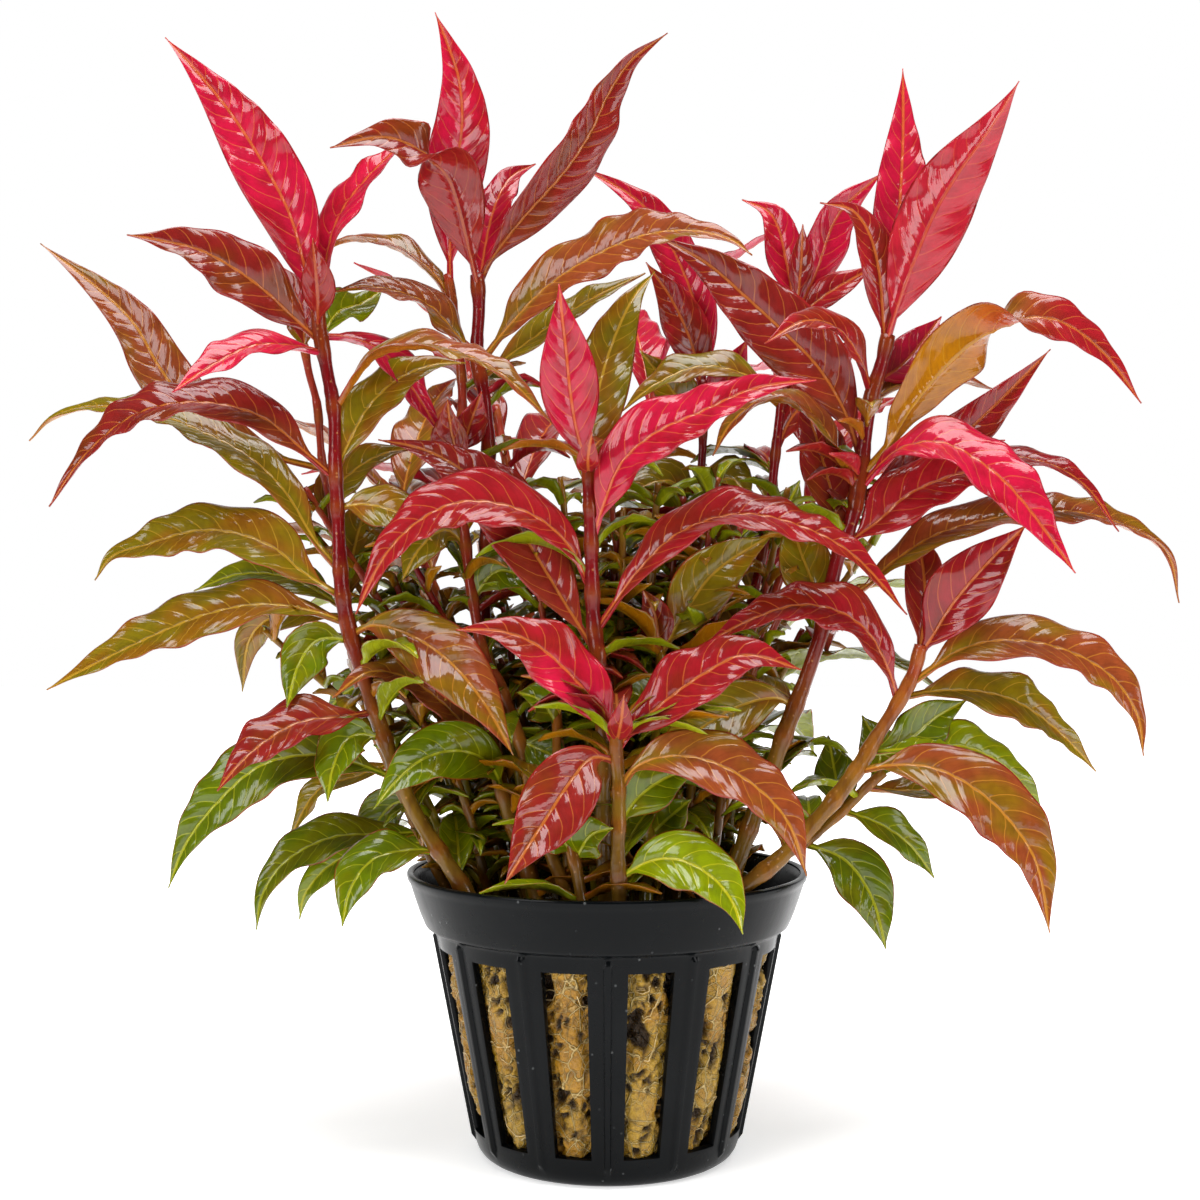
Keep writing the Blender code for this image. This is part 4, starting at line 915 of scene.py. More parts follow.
@dataclass(frozen=True)
class MediumFinish:
    """Wet fibrous wool: tan ridges and rusty lumps, with painted shade in its holes, pits and low places."""

    ridge: Rgb = (0.47, 0.275, 0.020)
    lump: Rgb = (0.42, 0.200, 0.006)
    # The colour of the painted shade in the plug's holes, pits and low places
    hollow: Rgb = (0.034, 0.015, 0.001)
    thread: Rgb = (0.68, 0.52, 0.22)
    grain_tint: Rgb = (0.4, 0.35, 0.3)
    gloss: float = 0.5
    roughness: Span = (0.10, 0.5)
    relief: float = 0.45 * MM

    def build(self) -> bpy.types.Material:
        """Make the material, which reads how much painted shade each point of the plug gets.

        Returns:
            The material.
        """
        s = Shader("growing_medium_fibres")
        where = s.place()
        patches = s.mix(s.step(s.noise(where, 130, 3), 0.40, 0.62), self.lump, self.ridge)
        grain = s.noise(where, 1400, 4, 0.7)
        ground = s.dimmed(s.step(grain, 0.35, 0.7, (0.45, 0)), patches, self.grain_tint)
        fine = s.step(s.cells(s.stretched(where, (1, 1, 0.7)), 620), 0.055, 0.012)
        coarse = s.step(s.cells(where, 300), 0.035, 0.008)
        threads = s.math("MAXIMUM", s.times(fine, 0.25), s.times(coarse, 0.7))
        threaded = s.mix(threads, ground, self.thread)
        # Painted shade: holes, pits and low places are darkened towards the dark shade colour
        depth = s.step(s.value("hollow"), 0.10, 0.85)
        s.set(Base_Color=s.mix(depth, threaded, self.hollow), Specular_IOR_Level=self.gloss)
        s.set(Roughness=s.step(grain, 0.35, 0.65, self.roughness))
        s.relief(s.plus(s.plus(grain, threads), threads), self.relief, 1.0)
        return s.material


@dataclass(frozen=True)
class PlainFinish:
    """A small part's finish: one colour broken by a fine grain."""

    name: str
    colour: Rgb
    shade: Rgb
    roughness: float
    scale: float = 700.0
    relief: float = 0.05 * MM

    def build(self) -> bpy.types.Material:
        """Make the material.

        Returns:
            The material.
        """
        s = Shader(self.name)
        grain = s.noise(s.place(), self.scale, 3)
        s.set(Base_Color=s.mix(s.step(grain, 0.35, 0.65), self.shade, self.colour), Roughness=self.roughness)
        s.relief(grain, self.relief, 0.4)
        return s.material


def facing(up: float, aside: float) -> np.ndarray:
    """The direction of a leaf's upper side from its two angles in degrees."""
    up, aside = math.radians(up), math.radians(aside)
    return np.array([math.sin(aside), -math.cos(up) * math.cos(aside), math.sin(up) * math.cos(aside)])


class Detail(Enum):
    """How fine a leaf's mesh is: its half ring's places, mm between stations, and the fewest stations."""

    FINE = ((0.0, 0.07, 0.2, 0.38, 0.58, 0.78, 0.92, 1.0), 0.62, 30)
    SEEN = ((0.0, 0.12, 0.38, 0.68, 0.9, 1.0), 0.85, 18)
    FILLER = ((0.0, 0.4, 0.8, 1.0), 1.5, 9)
    SPRIG = ((0.0, 0.55, 1.0), 1.9, 6)


@dataclass(frozen=True)
class Lattice:
    """The upper side of one leaf: a row for each station along it, a column for each place across it.

    share runs from 0 at the base to 1 at the tip, side from -1 to 1 across, half is half the width, and
    grown is 0 on the stalk and 1 on the blade.
    """

    length: float
    width: float
    share: np.ndarray
    side: np.ndarray
    half: np.ndarray
    grown: np.ndarray

    @property
    def out(self) -> np.ndarray:
        """How far out from the midrib each column lies, from 0 to 1."""
        return np.abs(self.side)

    @property
    def rib_mm(self) -> np.ndarray:
        """How many mm each point lies from the midrib."""
        return self.half * self.out / MM


@dataclass(frozen=True)
class Blade:
    """The form that every leaf shares, from its stalk to its drawn-out tip."""

    stalk_share: float = 0.08
    stalk_width: float = 0.9 * MM
    tip_width: float = 0.16 * MM
    thickness: float = 0.30 * MM
    stalk_thickness: float = 0.85 * MM
    fold: float = 0.36
    curl: float = 0.17
    ruffle: float = 0.13
    frill: float = 0.11
    frill_length: float = 7.0 * MM
    quilting: float = 0.22 * MM
    rib_depth: float = 0.45 * MM
    vein_spacing: float = 2.6
    vein_slant: float = 0.85
    vein_hook: float = 3.0
    full_quilt: float = 3.5 * MM
    groove: float = 0.14 * MM
    groove_width: float = 0.32
    rib_width: float = 0.35
    ruffle_count: Span = (1.6, 3.2)
    frill_pace: Span = (0.8, 1.2)
    vein_offset: Span = (0.2, 0.5)
    tip_start: Span = (0.38, 0.72)
    base_end: Span = (0.5, 0.05)
    blotch_edge: Span = (0.45, 0.95)
    blotch_strength: float = 0.75
    # How strongly the underside takes its colour, which is partly its own tone and partly a painted glow of
    # light through the leaf
    underside_and_glow_strength: float = 0.8
    brightness: Span = (0.88, 1.1)
    clouds: tuple[Xyz, ...] = ((0.22, 7, 2.2), (0.16, 17, -3), (0.14, 29, 5))

    def half_width(self, share: np.ndarray, width: float) -> np.ndarray:
        """Half the blade's width.

        Args:
            share: Shares of its length.
            width: Its greatest width in metres.

        Returns:
            Half its width in metres at each share.
        """
        along = np.clip((share - self.stalk_share) / (1 - self.stalk_share), 0, 1)
        lance = np.sin(math.pi * along ** 0.80) ** 1.25
        least = self.stalk_width + (self.tip_width - self.stalk_width) * along ** 0.6
        return np.maximum(width / 2 * lance, least / 2)

    def tones(self, tone: Tone, tip_tone: Tone, share: np.ndarray, side: np.ndarray,
              under: np.ndarray, rng: Rng) -> tuple[np.ndarray, np.ndarray]:
        """The leaf's own colours and its veins' colours, point by point.

        Args:
            tone: The leaf's main tone.
            tip_tone: The tone of its outer half.
            share: How far along the leaf each point lies.
            side: How far across it lies, from -1 to 1.
            under: 1 on the underside, 0 above.
            rng: The source of its mottling.

        Returns:
            Two arrays of linear colours.
        """
        own, base, tip = PALETTES[tone], PALETTES[BASE_TONES[tone]], PALETTES[tip_tone]
        # The clouds take three of the five draws
        phases = rng.uniform(0, 2 * math.pi, 5)
        cloud = 0.5
        for (height, along, across), phase in zip(self.clouds, phases):
            cloud = cloud + height * np.sin(along * share + across * side + phase)
        swing = rng.uniform(-0.2, 0.25)
        outer = smooth(share + 0.1 * (cloud - 0.5), *self.tip_start)
        blade, blotch = blend(own.blade, tip.blade, outer), blend(own.blotch, tip.blotch, outer)
        colour = blend(blade, blotch, smooth(cloud + swing, *self.blotch_edge) * self.blotch_strength)
        colour = blend(colour, base.blade, 0.6 * smooth(share, *self.base_end) * smooth(cloud, 0.1, 0.8))
        # The underside colour: partly its own tone, partly a painted glow of light shining through the leaf
        colour = blend(colour, blend(own.under, tip.under, outer), under * self.underside_and_glow_strength)
        colour = colour * rng.uniform(*self.brightness)
        rib = blend(blend(own.rib, tip.rib, outer), np.array(own.under), under * 0.5)
        return colour, rib

    def vein_phase(self, grid: Lattice, rng: Rng) -> np.ndarray:
        """Where each point lies between the side veins.

        Args:
            grid: The leaf's upper side.
            rng: The source of the offset between its two halves.

        Returns:
            A value for each point, which is a whole number on a vein.
        """
        between = self.vein_spacing * (0.75 + 0.25 * grid.width / (9 * MM))
        hook = self.vein_hook * grid.out ** 4 * grid.half / (grid.width / 2)
        phase = (grid.share * grid.length / MM - self.vein_slant * grid.rib_mm - hook) / between
        return phase + np.where(grid.side < 0, rng.uniform(*self.vein_offset), 0)

    def lift(self, grid: Lattice, phase: np.ndarray, detail: Detail, rng: Rng) -> np.ndarray:
        """How far each point rises above the flat blade: its fold, waves, quilting and midrib groove.

        Args:
            grid: The leaf's upper side.
            phase: Where each point lies between the side veins.
            detail: How fine the mesh is. Only the finer ones are quilted.
            rng: The source of its waves.

        Returns:
            A height in metres for each point.
        """
        share, half, out, grown = grid.share, grid.half, grid.out, grid.grown
        lift = half * (self.fold * out - self.curl * out ** 3) * grown
        turns = rng.uniform(*self.ruffle_count, 2)
        starts = rng.uniform(0, 2 * math.pi, 2)
        waves = [np.sin(2 * math.pi * turn * share + start) for turn, start in zip(turns, starts)]
        lift = lift + self.ruffle * half * out ** 2 * np.where(grid.side < 0, *waves) * grown
        beats = rng.uniform(*self.frill_pace, 2) * grid.length / self.frill_length
        starts = rng.uniform(0, 2 * math.pi, 2)
        waves = [np.sin(2 * math.pi * (beat * share + beat * 0.04 * np.sin(9 * share)) + start)
                 for beat, start in zip(beats, starts)]
        lift = lift + self.frill * half * out ** 3 * np.where(grid.side < 0, *waves) * grown
        pillow = np.abs(np.sin(math.pi * phase)) - 0.5
        quilting = self.quilting if detail in (Detail.FINE, Detail.SEEN) else 0.0
        lift = lift + quilting * pillow * (1 - out ** 6) * np.minimum(half / self.full_quilt, 1) * grown
        return lift - self.groove * np.exp(-((grid.rib_mm / self.groove_width) ** 2)) * grown

    def thick(self, grid: Lattice) -> np.ndarray:
        """The leaf's thickness at each point, with the midrib's keel under it.

        Args:
            grid: The leaf's upper side.

        Returns:
            A thickness in metres for each point.
        """
        body = self.stalk_thickness + (self.thickness - self.stalk_thickness) * grid.grown
        body = body * np.sqrt(1 - 0.96 * grid.out ** 2) * np.minimum(1, 0.35 + 6 * (1 - grid.share))
        keel = self.rib_depth * (1 - 0.8 * grid.share) * np.exp(-((grid.rib_mm / self.rib_width) ** 2))
        return body + keel * grid.grown

    def skin(self, path: Path, normal_at: Callable[[float], np.ndarray], width: float, tone: Tone,
             rng: Rng, detail: Detail, tip_tone: Tone | None = None) -> Skin:
        """Make one leaf.

        Args:
            path: The line of its midrib.
            normal_at: The direction of its upper side at a share of its length.
            width: Its greatest width in metres.
            tone: Its main tone.
            rng: The source of its ruffles and mottling.
            detail: How fine its mesh is.
            tip_tone: The tone of its outer half, where that differs.

        Returns:
            The leaf's closed skin.
        """
        places, spacing, least = detail.value
        half_sides = np.array(places)
        side = np.concatenate([-half_sides[:0:-1], half_sides])[None, :]
        share = np.linspace(0, 1, max(round(path.length / (spacing * MM)), least))
        centre = path.at(share * path.length)
        forward = path.heading(share * path.length, path.length / 24)
        hint = np.array([normal_at(value) for value in share])
        upper = unit(hint - forward * np.sum(hint * forward, axis=1, keepdims=True))
        across = np.cross(forward, upper)
        half = self.half_width(share, width)[:, None]
        grown = smooth(share, self.stalk_share * 0.6, self.stalk_share * 2.2)[:, None]
        grid = Lattice(path.length, width, share[:, None], side, half, grown)
        phase = self.vein_phase(grid, rng)
        lift = self.lift(grid, phase, detail, rng)
        top = centre[:, None] + across[:, None] * (half * side)[..., None] + upper[:, None] * lift[..., None]
        bottom = top - upper[:, None] * self.thick(grid)[..., None]
        rings = np.concatenate([top, bottom[:, -2:0:-1]], axis=1)
        under = np.concatenate([np.zeros_like(top[..., 0]), np.ones_like(top[:, 1:-1, 0])], axis=1)

        def round_ring(value: np.ndarray) -> np.ndarray:
            """A value of the upper side, carried round the underside too."""
            value = np.broadcast_to(value, top.shape[:2])
            return np.concatenate([value, value[:, -2:0:-1]], axis=1)

        sides, shares = round_ring(side), round_ring(share[:, None])
        tones, ribs = self.tones(tone, tip_tone or tone, shares, sides, under, rng)
        values = {"side": sides, "phase": round_ring(phase), "span": round_ring(half / MM), "tone": tones,
                  "rib": ribs}
        return Skin.lofted(rings, values)


@dataclass(frozen=True)
class StemForm:
    """The form that every stem shares: a tapering tube, swollen and sheathed at its joints."""

    sides: int = 14
    spacing: float = 0.8 * MM
    swell: float = 0.26
    swell_reach: float = 1.2 * MM
    sheath: float = 0.10 * MM
    sheath_length: float = 2.6 * MM
    joint_spacing: float = 6.5 * MM
    joint_gap: float = 0.6
    unevenness: float = 0.035
    uneven_length: float = 7 * MM
    blush: Span = (50 * MM, 74 * MM)
    joint_strength: float = 0.55
    # Painted shade: the heights between which stems darken towards their feet, inside the clump
    painted_shade_heights: Span = (48 * MM, 34 * MM)
    painted_shade_strength: float = 0.45
    sink: float = 1.5 * MM

    def joints(self, axis: Path, feet: list[float]) -> list[float]:
        """The leaf joints, and bare ones wherever the leaves stand far apart.

        Args:
            axis: The stem's centre line.
            feet: How far up each leaf joins it.

        Returns:
            How far up each joint lies.
        """
        found = sorted(feet)
        for wanted in np.arange(self.joint_spacing, axis.length, self.joint_spacing):
            if all(abs(wanted - other) > self.joint_spacing * self.joint_gap for other in found):
                found.append(float(wanted))
        return sorted(found)

    def skin(self, axis: Path, radii: Span, feet: list[float], tone: StemTone, rng: Rng) -> Skin:
        """Make one stem.

        Args:
            axis: Its centre line, from the foot up.
            radii: Its radii in mm at the foot and the top.
            feet: How far up each leaf joins it.
            tone: Its colours.
            rng: The source of its unevenness.

        Returns:
            The stem's closed skin.
        """
        along = np.linspace(0, axis.length, int(axis.length / self.spacing))
        forward = axis.heading(along, 1 * MM)
        aside = unit(np.cross(forward, np.array([0.0, -1.0, 0.0])))
        toward = np.cross(aside, forward)
        radius = (radii[0] + (radii[1] - radii[0]) * along / axis.length) * MM
        ring = np.zeros_like(along)
        grow = np.zeros_like(along)
        for joint in self.joints(axis, feet):
            ring = np.maximum(ring, np.exp(-(((along - joint) / (self.swell_reach * 0.8)) ** 2)))
            grow = np.maximum(grow, self.swell * np.exp(-(((along - joint) / self.swell_reach) ** 2)))
            above = (along > joint) & (along < joint + self.sheath_length)
            grow = np.maximum(grow, np.where(above, self.sheath / radius, 0))
        radius = radius * (1 + grow)
        turn = np.arange(self.sides) * 2 * math.pi / self.sides
        swing = np.sin(2 * turn[None, :] + along[:, None] / self.uneven_length + rng.uniform(0, 6))
        uneven = 1 + self.unevenness * swing
        reach = radius[:, None] * uneven
        centre = axis.at(along)
        centre[0] = centre[0] - forward[0] * self.sink
        rings = (centre[:, None] + aside[:, None] * (reach * np.cos(turn))[..., None]
                 + toward[:, None] * (reach * np.sin(turn))[..., None])
        palette = STEM_PALETTES[tone]
        colour = blend(palette.low, palette.high, smooth(centre[:, 2], *self.blush))
        # Painted shade: stems are darkened low down, inside the clump, where shade falls
        shade = 1 - self.painted_shade_strength * smooth(centre[:, 2], *self.painted_shade_heights)
        colour = blend(colour, palette.joint, ring * self.joint_strength) * shade[:, None]
        tones = np.broadcast_to(colour[:, None], rings.shape)
        return Skin.lofted(rings, {"tone": tones})


@dataclass
class Foliage:
    """Every stem with its leaves, built shoot by shoot."""

    leaf_skin: bpy.types.Material
    stem_skin: bpy.types.Material
    blade: Blade = field(default_factory=Blade)
    stem: StemForm = field(default_factory=StemForm)
    foot_height: float = 33.3 * MM
    twist: Span = (0.42, 0.68)
    fill_height: Span = (36 * MM, 108 * MM)
    fill_length: Span = (8 * MM, 18 * MM)
    fill_per_stem: int = 18
    fill_reach: float = 36 * MM
    fill_turn: float = 115
    fill_crowding: float = 1.15
    fill_high: Span = (0.35, 1.1)
    fill_rises: tuple[Span, ...] = ((15, 60), (-50, 10))
    fill_slimness: Span = (0.26, 0.36)
    fill_tones: tuple[Tone, ...] = (GREEN, OLIVE, GREEN, OLIVE, GREEN, LIME, OLIVE)
    high_fill_tones: tuple[Tone, ...] = (DARK_RED, OLIVE, BRONZE, CRIMSON)
    twigs_per_stem: int = 4
    twig_radii: Span = (0.62, 0.36)
    twig_tones: tuple[StemTone, ...] = (StemTone.GREEN, StemTone.PEACH, StemTone.GREEN, StemTone.RED)
    twig_rise: Span = (22 * MM, 60 * MM)
    twig_fan: Span = (0.5, 2.2)
    twig_joint: float = 4.6 * MM
    twig_front: Span = (-7 * MM, 4 * MM)
    twig_turn: float = 80
    twig_gap: Span = (1.5, 4.5)
    twig_drift: float = 4
    twig_rises: tuple[Span, ...] = ((25, 65), (-45, 15))
    twig_leaf: Span = (4.5, 10.5)
    twig_slimness: float = 0.34

    def sighted_leaf(self, leaf: Leaf, axis: Path, rng: Rng, detail: Detail) -> tuple[Skin, float]:
        """A leaf read off the photograph.

        Args:
            leaf: Its row of the table.
            axis: The stem that it grows from.
            rng: The source of its unevenness.
            detail: How fine its mesh is.

        Returns:
            Its skin, and how far up the stem it joins.
        """
        foot = axis.nearest(leaf.route[0][:2])
        joint = axis.at(foot)
        count = len(leaf.route) - 1
        points = [joint]
        for i, (px, py, *nearer) in enumerate(leaf.route[1:], 1):
            points.append(EYE.seen(px, py, -joint[1] / MM + leaf.reach * i / count + sum(nearer)))
        tip_face = leaf.tip_face or leaf.face

        def normal_at(share: float) -> np.ndarray:
            """The direction of its upper side.

            Args:
                share: A share of its length.

            Returns:
                The direction there.
            """
            turn = float(smooth(share, *self.twist))
            angles = [a + (b - a) * turn for a, b in zip(leaf.face, tip_face)]
            return facing(*angles)

        path, width = Path(points), leaf.width * MM
        return self.blade.skin(path, normal_at, width, leaf.tone, rng, detail, leaf.tip_tone), foot

    def rooted(self, route: tuple[tuple[float, ...], ...]) -> Path:
        """A stem's centre line, carried on down into the growing medium.

        Args:
            route: Its row of the table.

        Returns:
            The centre line from the foot up.
        """
        points = [EYE.seen(*spot) for spot in route]
        down = points[0] - points[1]
        share = (self.foot_height - points[0][2]) / down[2]
        return Path([points[0] + down * share] + points)

    def rising_leaf(self, start: np.ndarray, azimuth: float, rises: Span, length: float,
                    width: float, tone: Tone, rng: Rng, detail: Detail = Detail.FILLER) -> Skin:
        """A leaf that leaves its stem in one direction and arches over.

        Args:
            start: Where it joins the stem.
            azimuth: Its direction from the front, towards +X, in radians.
            rises: Its angles above level in radians at the base and at the tip.
            length: Its length in metres.
            width: Its greatest width in metres.
            tone: Its main tone.
            rng: The source of its unevenness.
            detail: How fine its mesh is.

        Returns:
            The leaf's skin.
        """
        outward, strides = compass(azimuth), 7
        points = [start]
        for rise in np.linspace(*rises, strides):
            stride = outward * math.cos(rise) + UP * math.sin(rise)
            points.append(points[-1] + stride * length / strides)

        def normal_at(share: float) -> np.ndarray:
            """The direction of its upper side at a share of its length."""
            rise = rises[0] + (rises[1] - rises[0]) * share
            return UP * math.cos(rise) - outward * math.sin(rise)

        return self.blade.skin(Path(points), normal_at, width, tone, rng, detail)

    def filling(self, axis: Path, rng: Rng) -> list[Skin]:
        """The small old leaves low on a stem, inside the clump.

        Args:
            axis: The centre line of the stem.
            rng: The source of their places and their unevenness.

        Returns:
            Their skins.
        """
        skins = []
        low, high = self.fill_height
        for number in range(self.fill_per_stem):
            height = low + (high - low) * rng.uniform() ** self.fill_crowding
            start = axis.at(float(np.interp(height, axis.line[:, 2], axis.along)))
            if np.hypot(start[0], start[1]) > self.fill_reach or start[2] < low:
                continue
            azimuth = inward(start) + math.radians(rng.uniform(-self.fill_turn, self.fill_turn))
            rises = drawn_rises(self.fill_rises, rng)
            length = rng.uniform(*self.fill_length)
            is_high = (height - low) / (high - low) > rng.uniform(*self.fill_high)
            tones = self.high_fill_tones if is_high else self.fill_tones
            tone = tones[number % len(tones)]
            width = length * rng.uniform(*self.fill_slimness)
            skins.append(self.rising_leaf(start, azimuth, rises, length, width, tone, rng))
        return skins

    def twig(self, axis: Path, skin_tone: StemTone, rng: Rng) -> tuple[Skin, list[Skin]]:
        """A thin side shoot that rises from a stem's foot towards the middle of the clump.

        Args:
            axis: The centre line of the stem.
            skin_tone: The side shoot's own tone.
            rng: The source of its place and its unevenness.

        Returns:
            Its skin, and the skins of its small leaves.
        """
        foot = axis.at(0.6 * MM)
        toward = compass(inward(foot) + math.radians(rng.uniform(-self.twig_turn, self.twig_turn)))
        start = foot + toward * rng.uniform(*self.twig_gap) * MM
        start[1] = max(start[1], rng.uniform(*self.twig_front))
        rise = UP * rng.uniform(*self.twig_rise)
        drift = toward * rng.uniform(0, self.twig_drift) * MM
        drift = drift + np.array([*rng.uniform(-self.twig_drift, self.twig_drift, 2), 0.0]) * MM
        drift[0] += start[0] * rng.uniform(*self.twig_fan) * rise[2] / self.twig_rise[1]
        line = Path([start, start + rise * 0.5 + drift * 0.3, start + rise + drift])
        feet = list(np.arange(self.twig_joint, line.length, self.twig_joint))
        leaves = []
        first = rng.uniform(0, math.pi)
        for number, along in enumerate(feet):
            here = line.at(along)
            for side in range(2):
                azimuth = first + number * math.pi / 2 + side * math.pi + rng.uniform(-0.4, 0.4)
                rises = drawn_rises(self.twig_rises, rng)
                length = rng.uniform(*self.twig_leaf) * MM
                tone = self.fill_tones[(number + side) % len(self.fill_tones)]
                width = length * self.twig_slimness
                leaves.append(self.rising_leaf(here, azimuth, rises, length, width, tone, rng, Detail.SPRIG))
        return self.stem.skin(line, self.twig_radii, feet, skin_tone, rng), leaves

    def finish_stem(self, name: str, axis: Path, radii: Span, feet: list[float],
                    tone: StemTone, small: list[Skin], rng: Rng) -> None:
        """Build a stem and its small leaves, which together stand for the stem's solid.

        Args:
            name: The solid's node.
            axis: The stem's centre line.
            radii: Its radii in mm at the foot and the top.
            feet: How far up each leaf joins it.
            tone: Its colours.
            small: The skins of its own small leaves.
            rng: The source of its unevenness, its filling and its side shoots.
        """
        tubes = [self.stem.skin(axis, radii, feet, tone, rng)]
        small += self.filling(axis, rng)
        for number in range(self.twigs_per_stem):
            side_shoot, leaves = self.twig(axis, self.twig_tones[number % len(self.twig_tones)], rng)
            tubes.append(side_shoot)
            small += leaves
        place(Skin.joined(tubes).build(name + "_tube", self.stem_skin), [name], tone.value)
        leaves = Skin.joined(small).build(name + "_small_leaves", self.leaf_skin)
        place(leaves, [name], OLIVE.value)

    def build_sighted(self) -> None:
        """Build every stem and leaf that the photograph shows."""
        for order, (name, stem) in enumerate(STEMS.items()):
            rng = np.random.default_rng(100 + order)
            axis = self.rooted(stem.route)
            feet, small = [], []
            for number, leaf in enumerate(LEAVES.get(name, ()), 1):
                skin, foot = self.sighted_leaf(leaf, axis, rng, Detail.FINE)
                feet.append(foot)
                node = f"{name}_leaf_{number}"
                place(skin.build(node + "_blade", self.leaf_skin), [node], leaf.tone.value)
            for leaf in SMALL_LEAVES[name]:
                skin, foot = self.sighted_leaf(leaf, axis, rng, Detail.SEEN)
                feet.append(foot)
                small.append(skin)
            self.finish_stem(name, axis, stem.radii, feet, stem.tone, small, rng)

    def build_hidden(self) -> None:
        """Build the shoots that fill the middle and the back of the pot."""
        for order, (name, shoot) in enumerate(SHOOTS.items()):
            rng = np.random.default_rng(200 + order)
            outward, lean = compass(math.radians(shoot.azimuth)), math.tan(math.radians(shoot.lean))
            points = []
            for share in np.linspace(0, 1, 5):
                rise = (shoot.height * MM - self.foot_height) * share
                aside = outward * (shoot.foot * MM + rise * lean * share)
                points.append(aside + UP * (self.foot_height + rise))
            axis = Path(points)
            feet, small = [], []
            for number in range(shoot.leaf_count):
                share = number / (shoot.leaf_count - 1)
                first, last = LEAF_SHARES
                feet.append(axis.length * (first + (last - first) * share))
                swing = (shoot.turn + number * GOLDEN_ANGLE) % 360 - 180
                azimuth = math.radians(shoot.azimuth + swing * LEAF_SPREAD / 180)
                pairs = zip(LOW_LEAF_RISE, HIGH_LEAF_RISE)
                rises = tuple(math.radians(low + (high - low) * share) for low, high in pairs)
                low, high = shoot.leaf_length
                length = (low + (high - low) * math.sin(math.pi * (0.15 + 0.7 * share))) * MM
                tone = shoot.leaf_tones[0] if share < 0.5 else shoot.leaf_tones[1]
                start, width = axis.at(feet[-1]), shoot.leaf_width * MM
                small.append(self.rising_leaf(start, azimuth, rises, length, width, tone, rng, Detail.SEEN))
            radii = (shoot.radius, shoot.radius * 0.65)
            self.finish_stem(name, axis, radii, feet, shoot.tone, small, rng)


